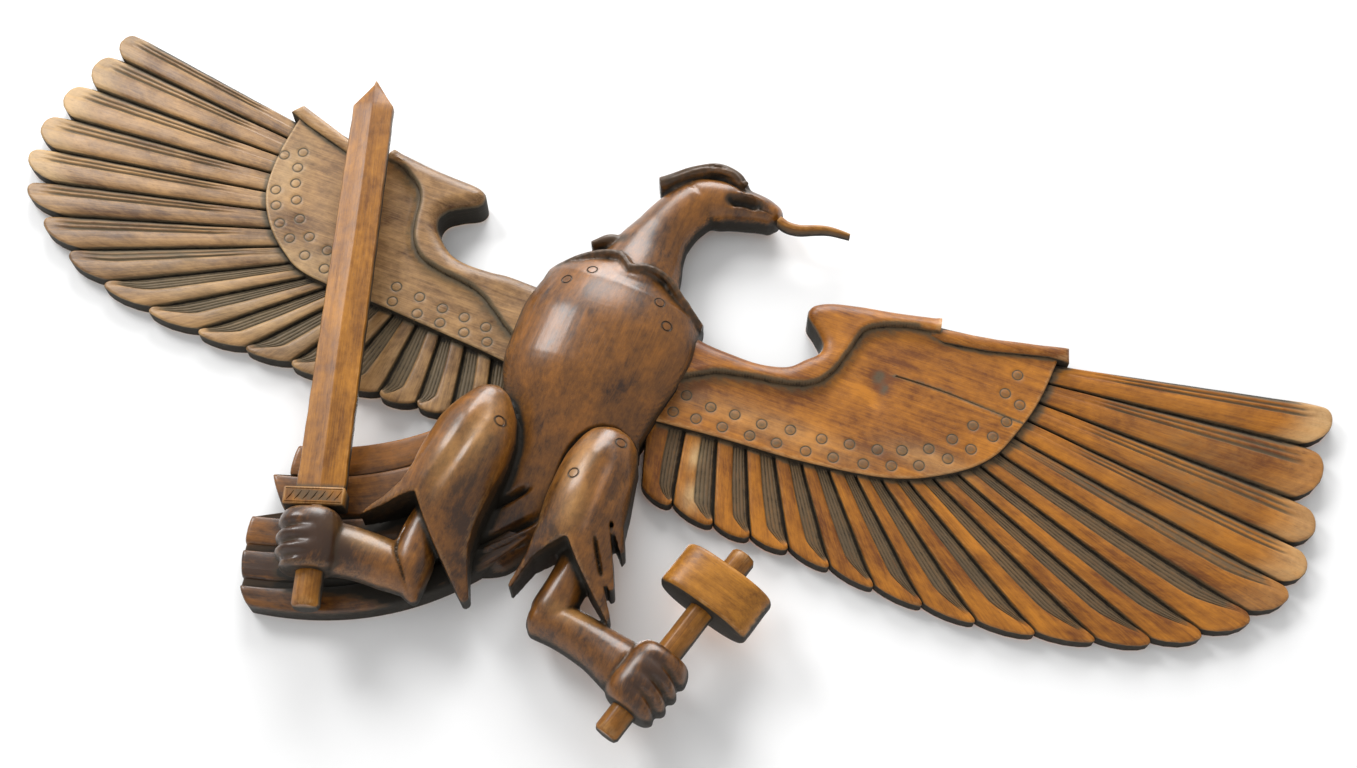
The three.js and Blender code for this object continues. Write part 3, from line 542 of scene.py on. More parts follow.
def feather_board(root_at, corners, bulges, bow_at, depths, kinds, seed):
    """Feathers side by side. Returns the skin, and for each place of its front how far it lies along and
    across its feather, the feather's tone, the wax with painted shade in its crevices and grooves and how bare the
    wood is."""
    random = np.random.default_rng(seed)
    feathers = len(corners)
    shifts = random.uniform(-0.04, 0.04, feathers)
    tones = random.uniform(-1, 1, feathers)
    columns = [(i, *row) for i in range(feathers) for row in PROFILE]
    columns.append((feathers - 1, 1, 1.0, *PROFILE[0, 2:]))
    columns = np.array(columns)
    number, part, share = columns[:, 0].astype(int), columns[:, 1], columns[:, 2]
    kind = np.asarray(kinds, float)[number]
    low, high = corners[number, 0], corners[number, 1]

    def frame_at(fraction):
        """Roots and ends of the lines along the feathers at a fraction of their width."""
        root = root_at(number + fraction)
        chord = low + (high - low) * fraction[:, None]
        reach = chord - root
        reach /= np.linalg.norm(reach, axis=1, keepdims=True)
        roundness = np.sqrt(1 - np.abs(2 * fraction ** END_SKEW - 1) ** 2.4)
        return root, chord + reach * (bulges[number] * roundness)[:, None], reach

    root, end, _ = frame_at(np.full(len(number), 0.5))
    length = np.linalg.norm(end - root, axis=1)
    rows = []
    for k in range(LENGTH_ROWS):
        rows.append((1 - min(END_ROWS[-1], 16) / length) * k / LENGTH_ROWS)
    for distance in reversed(END_ROWS):
        rows.append(1 - distance / length)
    front, along, across, waxed_and_shaded, bare = [], [], [], [], []
    for t in rows:
        barbs = 0.5 - 0.05 * np.sin(3.5 * t) + 0.4 * ease(0.78, 0.99, t)
        edge = kind @ (0, 0.56, 0.6) + kind[:, 0] * barbs + shifts[number]
        fraction = np.where(part == 0, share * edge, edge + share * (1 - edge))
        root, end, reach = frame_at(fraction)
        spot = root + (end - root) * t[:, None]
        bow = bow_at(number + fraction) * 4 * t * (1 - t)
        spot += np.stack([-reach[:, 1], reach[:, 0]], 1) * bow[:, None]
        strip = ease(0.02, 0.06, part * share) * (1 - ease(0.9, 0.97, t)) * ease(0.0, 0.1, t)
        quill = ease(0.16, 0.3, t) * (1 - ease(0.88, 0.95, t))
        lost = columns[:, 3:]
        barbed = np.where(part == 1, 0.9 + 4 * ease(0.8, 1, share), lost[:, 0])
        barbed = barbed + (lost[:, 0] - barbed) * np.where(part == 1, strip, 1)
        quilled = np.where(part == 1, 0.6 + 4.4 * ease(0.7, 1, share), lost[:, 1])
        quilled = quilled + (lost[:, 1] - quilled) * np.where(part == 1, quill, 1)
        loss = kind[:, 0] * barbed + kind[:, 1] * quilled + kind[:, 2] * lost[:, 2]
        from_end = (1 - t) * length
        loss = loss + rounding(from_end, 2.5) * 0.8
        loss = loss + 0.35 * waviness(spot[:, 0], spot[:, 1], 38, seed + 1)
        depth = depths[0] + (depths[1] - depths[0]) * t - loss
        front.append(np.stack([spot[:, 0], -depth, spot[:, 1]], 1))
        along.append(t * length)
        across.append((number + fraction) * 30)
        held = np.where(part == 1, strip, 0.8), np.where(part == 1, quill, 0.8)
        waxed_and_shaded.append(kind[:, 0] * lost[:, 3] * held[0] + kind[:, 1] * lost[:, 4] * held[1])
        bare.append(ease(45, 8, from_end) * kind[:, 1] * (0.3 + 0.3 * tones[number]))
    front = np.array(front)
    back = front.copy()
    back[:, :, 1] = BEHIND
    count, rows = len(number), len(front)
    verts = np.vstack([front.reshape(-1, 3), back.reshape(-1, 3)])
    half = rows * count
    faces = []
    for row in range(rows - 1):
        for i in range(count - 1):
            a = row * count + i
            faces.append((a, a + 1, a + count + 1, a + count))
            faces.append((half + a, half + a + count, half + a + count + 1, half + a + 1))
        for i, order in ((0, 1), (count - 1, -1)):
            a = row * count + i
            faces.append((a, a + count, half + a + count, half + a)[::order])
    for row, order in ((0, -1), (rows - 1, 1)):
        for i in range(count - 1):
            a = row * count + i
            faces.append((a, a + 1, half + a + 1, half + a)[::order])
    facts = {"place": front.reshape(-1, 3), "along": np.ravel(along), "across": np.ravel(across),
             "tone": np.tile(tones[number], rows), "wax_and_shade": np.ravel(waxed_and_shaded), "bare": np.ravel(bare)}
    return (verts, faces), facts


# Wax, painted shade and wear

def heights_of(verts, corners, low, shape):
    """The front of a mesh as depths on a grid of one millimetre."""
    grid = np.full(shape, -1.0)
    a, b, c = (verts[corners[:, k]] for k in range(3))
    longest = np.max([np.linalg.norm(p - q, axis=1) for p, q in ((a, b), (b, c), (c, a))], axis=0)
    splits = np.minimum(2 ** np.ceil(np.log2(np.maximum(longest / 0.8, 1))), 64).astype(int)
    for split in np.unique(splits):
        chosen = splits == split
        for i in range(split + 1):
            for j in range(split + 1 - i):
                u, v = i / split, j / split
                spot = a[chosen] * (1 - u - v) + b[chosen] * u + c[chosen] * v
                column = np.round(spot[:, 0] - low[0]).astype(int)
                row = np.round(spot[:, 2] - low[1]).astype(int)
                np.maximum.at(grid, (row, column), -spot[:, 1])
    return grid


def blurred(grid, radius):
    """The grid smeared out three times by a box."""
    for _ in range(3):
        for axis in (0, 1):
            padded = np.concatenate([np.zeros_like(grid.take([0], axis)), np.cumsum(grid, axis)], axis)
            size = grid.shape[axis]
            upper = np.minimum(np.arange(size) + radius + 1, size)
            lower = np.maximum(np.arange(size) - radius, 0)
            grid = (padded.take(upper, axis) - padded.take(lower, axis)) / (2 * radius + 1)
    return grid


def age(obj, facts=None, grain="across", flank_shade=0.85, rub=1.0):
    """Stores what the stain needs at each vertex: the grain's run, wax and painted shade in the hollows,
    painted shade on the steep flanks, most where they face down, worn edges, bare patches and painted
    sheen, and the tone of the board or feather."""
    facts = facts or {}
    verts, corners = vertices(obj), corners_of_triangles(obj)
    low = verts.min(0)[[0, 2]] - 12
    shape = tuple((np.ceil(verts.max(0)[[2, 0]] - low[::-1]) + 13).astype(int))
    grid = heights_of(verts, corners, low, shape)
    known = grid >= 0
    column = np.round(verts[:, 0] - low[0]).astype(int)
    row = np.round(verts[:, 2] - low[1]).astype(int)
    depth = -verts[:, 1]
    wax_and_shade, wear = np.zeros(len(verts)), np.zeros(len(verts))
    # Wax and painted shade in the hollows: the deeper a vertex sits below its surroundings, the more it gets.
    for radius, reach, share, raised in ((2, 1.8, 0.6, 0.5), (6, 8, 0.4, 0.2)):
        weight = blurred(known.astype(float), radius)
        mean = blurred(np.where(known, grid, 0), radius) / np.maximum(weight, 1e-6)
        level = np.where(known, grid, mean - 2.5)
        around = blurred(level, radius)[row, column]
        wax_and_shade += share * np.clip((around - depth) / reach, 0, 1)
        wear += raised * np.clip((depth - around) / reach * 1.3 - 0.1, 0, 1)
    normals = normals_of(obj)
    # Painted shade: steep flanks are darkened too, more where they face down.
    steep = ease(0.5, 0.15, -normals[:, 1]) * (normals[:, 1] < 0.5)
    downward = ease(-0.3, 0.5, -normals[:, 2])
    wax_and_shade = np.maximum(wax_and_shade, flank_shade * steep * (0.45 + 0.55 * downward))
    wear = wear * (1 - 0.7 * steep) * rub
    if grain == "across":
        run = np.stack([verts[:, 0], verts[:, 2], depth], 1)
    elif grain == "up":
        run = np.stack([verts[:, 2], verts[:, 0], depth], 1)
    else:
        lean = math.radians(grain)
        run = np.stack([verts[:, 0] * math.sin(lean) + verts[:, 2] * math.cos(lean),
                        verts[:, 0] * math.cos(lean) - verts[:, 2] * math.sin(lean), depth], 1)
    tone, bare = np.zeros(len(verts)), np.zeros(len(verts))
    if "place" in facts:
        tree = KDTree(len(facts["place"]))
        for i, place in enumerate(facts["place"]):
            tree.insert(place, i)
        tree.balance()
        for i, place in enumerate(verts):
            if depth[i] > 24:
                continue
            _, nearest, distance = tree.find(place)
            if distance < 2.5 or depth[i] < 0.9 * -facts["place"][nearest][1]:
                run[i, 0] = facts["along"][nearest]
                run[i, 1] = facts["across"][nearest]
                tone[i] = facts["tone"][nearest]
            if distance < 2.5:
                wax_and_shade[i] = max(wax_and_shade[i], facts["wax_and_shade"][nearest])
                bare[i] = facts["bare"][nearest]
    for (x, z), (wide, high), amount, what in facts.get("spots", []):
        near = np.exp(-(((verts[:, 0] - x) / wide) ** 2 + ((verts[:, 2] - z) / high) ** 2))
        near = near * (depth > 0.5)
        if what == "ring":
            away = np.hypot(verts[:, 0] - x, verts[:, 2] - z)
            near = np.exp(-((away - wide) / high) ** 2) * (depth > 0.5)
            what = "wax_and_shade"
        if what == "wax_and_shade":
            wax_and_shade = np.maximum(wax_and_shade, amount * near)
        elif what == "bare":
            bare = np.maximum(bare, amount * near)
        else:
            tone = tone + amount * near
    grain_store = obj.data.attributes.new("grain", "FLOAT_VECTOR", "POINT")
    grain_store.data.foreach_set("vector", run.astype(np.float32).ravel())
    for name, values in (("wax_and_shade", np.clip(wax_and_shade, 0, 1)), ("wear", np.clip(wear, 0, 1)), ("tone", tone),
                         ("bare", np.clip(bare, 0, 1))):
        store = obj.data.attributes.new(name, "FLOAT", "POINT")
        store.data.foreach_set("value", values.astype(np.float32))
    facing = np.empty(len(obj.data.polygons) * 3, np.float32)
    obj.data.polygons.foreach_get("normal", facing)
    store = obj.data.attributes.new("back", "FLOAT", "FACE")
    store.data.foreach_set("value", (facing[1::3] > 0.7).astype(np.float32))


# Stains

class Value:
    """A socket that can be calculated with."""

    def __init__(self, nodes, socket):
        self.nodes = nodes
        self.socket = socket

    def math(self, operation, *others, clamp=False):
        inputs = {i: v for i, v in enumerate((self, *others))}
        settings = {"operation": operation, "use_clamp": clamp}
        return self.nodes.add("ShaderNodeMath", settings, inputs).value()

    def __add__(self, other):
        return self.math("ADD", other)

    def __sub__(self, other):
        return self.math("SUBTRACT", other)

    def __rsub__(self, other):
        return self.nodes.add("ShaderNodeMath", {"operation": "SUBTRACT"}, {0: other, 1: self}).value()

    def __mul__(self, other):
        return self.math("MULTIPLY", other)

    def __truediv__(self, other):
        return self.math("DIVIDE", other)

    def __pow__(self, other):
        return self.math("POWER", other)

    __radd__ = __add__
    __rmul__ = __mul__

    def clamped(self):
        return self.math("ADD", 0.0, clamp=True)

    def ramp(self, low, high):
        """0 below low, 1 above high and smooth in between."""
        settings = {"interpolation_type": "SMOOTHSTEP"}
        return self.nodes.add("ShaderNodeMapRange", settings, {0: self, 1: low, 2: high}).value()


class Made:
    """A node that was added, whose outputs are values."""

    def __init__(self, nodes, node):
        self.nodes = nodes
        self.node = node

    def value(self, output=0):
        return Value(self.nodes, self.node.outputs[output])


class Nodes:
    """The node tree of one material."""

    def __init__(self, name):
        self.material = bpy.data.materials.new(name)
        self.material.use_nodes = True
        self.tree = self.material.node_tree
        self.tree.nodes.clear()

    def add(self, kind, settings=None, inputs=None):
        """Adds a node, sets its settings and then its sockets, to values or to links."""
        node = self.tree.nodes.new(kind)
        for setting, value in (settings or {}).items():
            setattr(node, setting, value)
        for socket, value in (inputs or {}).items():
            if isinstance(value, Value):
                self.tree.links.new(value.socket, node.inputs[socket])
            else:
                node.inputs[socket].default_value = value
        return Made(self, node)

    def attribute(self, name, output="Fac"):
        return self.add("ShaderNodeAttribute", {"attribute_name": name}).value(output)

    def stretched(self, vector, amounts):
        settings = {"operation": "MULTIPLY"}
        return self.add("ShaderNodeVectorMath", settings, {0: vector, 1: amounts}).value()

    def noise(self, vector, detail=3.0, roughness=0.55, distortion=0.0):
        inputs = {"Vector": vector, "Scale": 1.0, "Detail": detail, "Roughness": roughness,
                  "Distortion": distortion}
        return self.add("ShaderNodeTexNoise", {}, inputs).value("Fac")

    def mix(self, share, first, second, blend="MIX"):
        settings = {"data_type": "RGBA", "blend_type": blend}
        return self.add("ShaderNodeMix", settings, {0: share, 6: first, 7: second}).value(2)


def opaque(colour):
    return (*colour[:3], 1.0)


def stained_wood(name, dark, light, bare, film, wax_and_shade, gloss, figure=1.0, polish=0.1):
    """Waxed, hand-rubbed stain: figure along the grain, pores, a grey film of wax that turns dark in the hollows,
    with painted shade in the hollows and on the steep flanks, worn edges, and bare patches and painted sheen."""
    nodes = Nodes(name)
    grain = nodes.attribute("grain", "Vector")
    waxed_and_shaded, worn = nodes.attribute("wax_and_shade") * (1 - nodes.attribute("back")), nodes.attribute("wear")
    tone, patch = nodes.attribute("tone"), nodes.attribute("bare")
    cloud = nodes.noise(nodes.stretched(grain, (0.018, 0.03, 0.03)), 4.0, 0.6, 0.6)
    bands = nodes.noise(nodes.stretched(grain, (0.006, 0.11, 0.11)), 4.0, 0.6, 1.2)
    streaks = nodes.noise(nodes.stretched(grain, (0.035, 0.9, 0.9)), 3.0, 0.65)
    pores = nodes.noise(nodes.stretched(grain, (0.12, 2.2, 2.2)), 2.0, 0.5)
    mottle = nodes.noise(nodes.stretched(grain, (0.12, 0.16, 0.16)), 5.0, 0.7)
    share = (0.48 + (cloud - 0.5) * 1.8 + (bands - 0.5) * (1.2 * figure) + (streaks - 0.5) * (0.9 * figure)
             + (mottle - 0.5) * 1.0 + tone * 0.2)
    wood = nodes.mix(share.clamped(), opaque(dark), opaque(light))
    rubbed = (worn * 1.5 * (mottle + streaks - 0.45) - 0.15).clamped()
    wood = nodes.mix(rubbed * 0.7, wood, opaque(bare))
    # Bare wood and painted sheen: the bare patches turn pale.
    bare_and_sheen_patch = (patch * (0.3 + 1.4 * mottle) * 1.2).clamped()
    wood = nodes.mix(bare_and_sheen_patch * 0.8, wood, opaque(bare))
    pore = pores.ramp(0.64, 0.72) * (0.4 + streaks)
    wood = nodes.mix(pore * 0.45, wood, opaque([c * 0.25 for c in dark[:3]]))
    # Painted shade: where wax_and_shade is high the wood turns to the grey film and then near black, in the hollows
    # and on the steep flanks.
    packed_wax_and_shade = (waxed_and_shaded * 1.1 + (mottle - 0.5) * 0.8 * waxed_and_shaded.ramp(0.05, 0.4)).clamped()
    wood = nodes.mix(packed_wax_and_shade.ramp(0.1, 0.6) * 0.85, wood, opaque(film))
    wood = nodes.mix(packed_wax_and_shade.ramp(0.6, 0.95) * 0.94, wood, opaque(wax_and_shade))
    rough = (gloss + (mottle - 0.5) * 0.22 + packed_wax_and_shade * 0.3 + bare_and_sheen_patch * 0.12).clamped()
    height = streaks * 0.3 + mottle * 0.5 + (1 - pore) * 0.35 + cloud * 0.5
    bump = nodes.add("ShaderNodeBump", {}, {"Strength": 0.35, "Distance": 0.0006, "Height": height})
    surface = nodes.add("ShaderNodeBsdfPrincipled", {}, {
        "Base Color": wood, "Roughness": rough, "Specular IOR Level": 0.34,
        "Coat Weight": ((1 - packed_wax_and_shade) * polish).clamped(), "Coat Roughness": 0.22, "Normal": bump.value()})
    nodes.add("ShaderNodeOutputMaterial", {}, {"Surface": surface.value()})
    return nodes.material


def finish_piece(obj, material, slot, *node_names):
    """Smooths the shading, gives the stain and sets the piece on the frame."""
    obj.data.materials.clear()
    obj.data.materials.append(material)
    obj.data.shade_smooth()
    obj.data.set_sharp_from_angle(angle=math.radians(42))
    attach(obj, "root")
    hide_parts(*node_names)


# Sizes and colours that a user may change

def length(name, description, size):
    return FloatProperty(name=name, description=description, default=size * MM, min=0, unit="LENGTH",
                         precision=4)


def colour(name, description, *screen):
    """A colour from the brightness of red, green and blue on a screen, out of 255."""
    linear = [((v / 255 + 0.055) / 1.055) ** 2.4 if v > 10 else v / 255 / 12.92 for v in screen]
    return FloatVectorProperty(name=name, description=description, default=linear, min=0, max=1, size=3,
                               subtype="COLOR")


class EagleWings(bpy.types.PropertyGroup):
    """Sizes and stains of the wings"""

    ring_radius: length("Ring radius", "Radius of the stamped rings on the shields", 4.6)
    ring_depth: length("Ring depth", "How deep the rings are stamped", 0.4)
    shield_rim: length("Shield rim", "Rounding of the shields' rims", 1.8)
    band_round: length("Band rounding", "Rounding of the thick leading edge", 13.0)
    right_dark: colour("Right, dark", "Dark tone of the right wing's stain", 104, 55, 10)
    right_light: colour("Right, light", "Light tone of the right wing's stain", 182, 114, 26)
    left_dark: colour("Left, dark", "Dark tone of the left wing's stain", 86, 56, 28)
    left_light: colour("Left, light", "Light tone of the left wing's stain", 170, 130, 82)
    bare: colour("Bare wood", "Colour where the stain is rubbed away", 206, 174, 126)
    # Laid as wax in the barbs and hollows, and as painted shade on the steep flanks.
    film: colour("Wax film", "Grey wax that stays in the barbs", 84, 75, 56)


class EagleBody(bpy.types.PropertyGroup):
    """Sizes and stains of the body"""

    facet: length("Finest cut", "Size of the smallest cut that the body's mesh holds", 1.68)
    blend: FloatProperty(name="Blending", description="How far limbs run into each other", default=6,
                         min=0, max=30)
    dark: colour("Dark", "Dark tone of the body's stain", 54, 29, 6)
    light: colour("Light", "Light tone of the body's stain", 146, 90, 24)
    # Also laid as painted sheen highlights on the thighs and forearms.
    bare: colour("Bare wood", "Colour where the stain is rubbed away", 200, 152, 92)
    # Laid as wax in the hollows, and as painted shade on the steep flanks.
    film: colour("Wax film", "Grey wax that stays in the shallow hollows", 58, 42, 22)


class EagleTools(bpy.types.PropertyGroup):
    """Stains of the sword, the mallet and the tongue"""

    dark: colour("Dark", "Dark tone of the tools' stain", 104, 60, 12)
    light: colour("Light", "Light tone of the tools' stain", 176, 116, 34)
    bare: colour("Bare wood", "Colour where the stain is rubbed away", 214, 178, 126)
    # Laid as wax in the hollows, and as painted shade on the steep flanks.
    film: colour("Wax film", "Grey wax that stays in the shallow hollows", 80, 66, 46)
    # Near black: wax and painted shade in the deepest hollows and on downward-facing flanks.
    wax_and_shade: colour("Wax", "Dark wax that stays in every hollow", 32, 29, 23)


class EagleStage(bpy.types.PropertyGroup):
    """Backdrop and light"""

    backdrop: colour("Backdrop", "Colour of the wall and the floor", 246, 246, 246)
    key_light: FloatProperty(name="Key light", description="Power of the large soft light", default=94,
                             min=0, subtype="POWER")
    fill_light: FloatProperty(name="Fill light", description="Power of the light from the left", default=46,
                              min=0, subtype="POWER")
    sky: FloatProperty(name="Sky", description="Strength of the even light from all around", default=0.62,
                       min=0)


# Pieces

def wing_piece(wing, look, name):
    side = wing["side"]
    middle = np.array(SHIELD_MIDDLE) * (side, 1)
    ends, rim_line = sided(wing["ends"], side), sided(wing["shield"], side)
    notches = spline(ends, np.arange(WING_FEATHERS + 1) / WING_FEATHERS)
    corners = np.stack([notches[:-1], notches[1:]], 1)
    bulges = np.interp(np.arange(WING_FEATHERS) / 3, np.arange(7), wing["bulges"])

    def root_at(place):
        rim = paced(rim_line, (place / WING_FEATHERS) ** ROOT_CROWDING)
        return rim + (middle - rim) * ROOT_INSET

    quilled = ease(*wing["quilled_from"], np.arange(WING_FEATHERS))
    kinds = np.stack([1 - quilled, quilled, 0 * quilled], 1)
    board, facts = feather_board(root_at, corners, bulges, lambda place: 0 * place, wing["depths"], kinds,
                                 3 + side)
    shield = np.vstack([paced(rim_line, np.linspace(0, 1, 90)), sided(wing["shield_top"], side)])
    band_top = paced(sided(wing["band_top"], side), np.linspace(0, 1, 120))
    band_foot = paced(sided(wing["band_foot"], side), np.linspace(0, 1, 110))
    band = np.vstack([band_top, band_foot])
    band_end = np.array([band_top[-1], band_foot[0]])
    strip = sided(wing["strip"], side)
    rings = sided(wing["rings"], side)
    radius, sunk = look.ring_radius / MM, look.ring_depth / MM
    turn = np.linspace(0, 2 * math.pi, 26, endpoint=False)
    circle = np.stack([np.cos(turn), np.sin(turn)], 1)
    detail = [ring + circle * (radius + step) for ring in rings for step in (-0.9, 0, 0.9)]
    crack = sided(wing["crack"], side) if wing["crack"] else None
    if crack is not None:
        line = paced(crack, np.linspace(0, 1, 60))
        detail += [line, line + (0, 1.0), line - (0, 1.0)]

    def shield_depth(points, distance):
        depth = SHIELD_DEPTH - rounding(distance, look.shield_rim / MM)
        depth = depth + 0.35 * waviness(points[:, 0], points[:, 1], 60, 11)
        to_foot = distance_to_line(points, band_foot)[0]
        depth = depth + 3.5 * np.exp(-(to_foot / 5) ** 2)
        for ring in rings:
            away = np.linalg.norm(points - ring, axis=1)
            depth = depth - sunk * np.exp(-((away - radius) / 0.6) ** 2)
        if crack is not None:
            away, where = distance_to_line(points, paced(crack, np.linspace(0, 1, 40)))
            depth = depth - 1.4 * np.maximum(1 - away / 0.9, 0) * (1.2 - where)
        for knot in sided(wing["knot"], side) if wing["knot"] else []:
            away = np.linalg.norm((points - knot) / (9, 12), axis=1)
            depth = depth - 0.8 * np.exp(-away ** 2)
        return depth

    def band_depth(points, distance):
        from_top = distance_to_line(points, band_top)[0]
        from_foot = distance_to_line(points, band_foot)[0]
        from_end = distance_to_line(points, band_end)[0]
        depth = BAND_DEPTH - rounding(from_top, look.band_round / MM) * 0.75 - rounding(from_foot, 5) * 0.6
        depth = depth + 0.8 * np.exp(-((from_foot - 5) / 1.3) ** 2) + 2 * np.exp(-(from_end / 4) ** 2)
        return depth + 0.5 * waviness(points[:, 0], points[:, 1], 45, 5)

    def strip_depth(points, distance):
        return STRIP_DEPTH - rounding(distance, 5) * 0.8 + 0.4 * waviness(points[:, 0], points[:, 1], 40, 6)

    obj = build(name, board)
    combine(obj,
            ("UNION", build("shield", relief_plate(shield, shield_depth, 1.8, 3.2, np.vstack(detail)))),
            ("UNION", build("strip", relief_plate(strip, strip_depth, 4, 2.5))),
            ("UNION", build("band", relief_plate(band, band_depth, 7, 2.5))),
            ("DIFFERENCE", behind_wall()),
            ("INTERSECT", wing_room(wing, GAP, OVERSIZE, OVERSIZE)))
    spots = [((x, z), (radius, 0.8), 0.75, "ring") for x, z in rings]
    for x, z in rings:
        spots.append(((x, z), (6.5, 6.5), wing["halo"], "wax_and_shade"))
    for place, reach, amount, what in wing["marks"]:
        spots.append(((place[0] * side, place[1]), reach, amount, what))
    if crack is not None:
        spots += [((x, z), (5, 1.3), 0.7, "wax_and_shade") for x, z in paced(crack, np.linspace(0, 1, 24))]
    # Painted shadow: a dark line along the band's foot, where the band's shadow falls on the shield.
    spots += [((x, z), (3.6, 3.6), 0.7, "wax_and_shade") for x, z in band_foot[8:]]
    spots += [((x, z), (9, 9), -0.8, "tone") for x, z in band_top[::5]]
    facts["spots"] = spots
    age(obj, facts)
    return obj


def squared(values, squareness):
    """Coordinates of a rounded box in a turn, from their cosines or sines."""
    return np.sign(values) * np.abs(values) ** (2 / squareness)


def claw(shape):
    """A closed claw around its tool, with grooves between the toes on the side that they wrap around."""
    t = np.linspace(0, 1, 73)[:, None]
    turn = np.linspace(0, 2 * math.pi, 60, endpoint=False)[None]
    taper = np.sqrt(np.maximum(1 - np.abs(2 * t - 1) ** 3, 0))
    shrink = CLAW_END + (1 - CLAW_END) * taper
    outward = shape["side"] * np.cos(turn)
    cut = np.zeros((t.shape[0], turn.shape[1]))
    for groove in shape["grooves"]:
        middle = groove - shape["bend"] * outward ** 2
        cut = np.maximum(cut, CLAW_GROOVE * np.exp(-((t - middle) / CLAW_GROOVE_HALF) ** 2))
    cut = cut * ease(-0.35, 0.45, outward)
    wide = shape["aside"] + (shape["half"][0] - cut) * shrink * squared(np.cos(turn), CLAW_SQUARENESS)
    deep = (shape["half"][1] - cut) * shrink * squared(np.sin(turn), CLAW_SQUARENESS)
    up = np.broadcast_to(shape["from"] + (shape["to"] - shape["from"]) * t, wide.shape)
    return skin(stand(np.stack([wide, deep, up], -1), shape["tool"]))


def trimmed_limb(shape, sides):
    """The skin of a limb that is trimmed to an outline as seen from the front."""
    obj = build("trimmed_limb", limb(shape["stations"], sides))
    combine(obj, ("INTERSECT", prism("outline", shape["outline"], -OVERSIZE, OVERSIZE)))
    verts, faces = vertices(obj), [tuple(face.vertices) for face in obj.data.polygons]
    bpy.data.objects.remove(obj)
    return verts, faces


def relax(verts, edges, rounds):
    """Evens out a skin without shrinking it."""
    count = np.bincount(edges.ravel(), minlength=len(verts))[:, None]
    for step in [0.55, -0.56] * int(rounds):
        total = np.zeros_like(verts)
        for axis in range(3):
            total[:, axis] = (np.bincount(edges[:, 0], verts[edges[:, 1], axis], len(verts))
                              + np.bincount(edges[:, 1], verts[edges[:, 0], axis], len(verts)))
        verts = verts + step * (total / count - verts)
    return verts


def ring_cutter(spots, surface, radius):
    """Thin rings that lie in the surface and are cut out of it."""
    parts = []
    for x, z in spots:
        hit, place, normal, _ = surface.ray_cast(Vector((x, -200, z)) * MM, Vector((0, 1, 0)))
        if not hit:
            raise RuntimeError("a stamped ring misses the body")
        turned = normal.to_track_quat("Z", "Y").to_matrix()
        around = np.linspace(0, 2 * math.pi, 30, endpoint=False)
        rings = []
        for angle in around:
            section = [(radius + 0.7 * math.cos(k), 0.8 * math.sin(k)) for k in np.linspace(0, 2 * math.pi, 8, endpoint=False)]
            rings.append([turned @ Vector((r * math.cos(angle), r * math.sin(angle), h)) + place / MM
                          for r, h in section])
        rings = np.array([[tuple(p) for p in ring] for ring in rings])
        rows, count = rings.shape[:2]
        faces = [(i * count + k, i * count + (k + 1) % count, ((i + 1) % rows) * count + (k + 1) % count,
                  ((i + 1) % rows) * count + k) for i in range(rows) for k in range(count)]
        parts.append((rings.reshape(-1, 3), faces))
    obj = build("ring_cutter", *parts)
    return obj


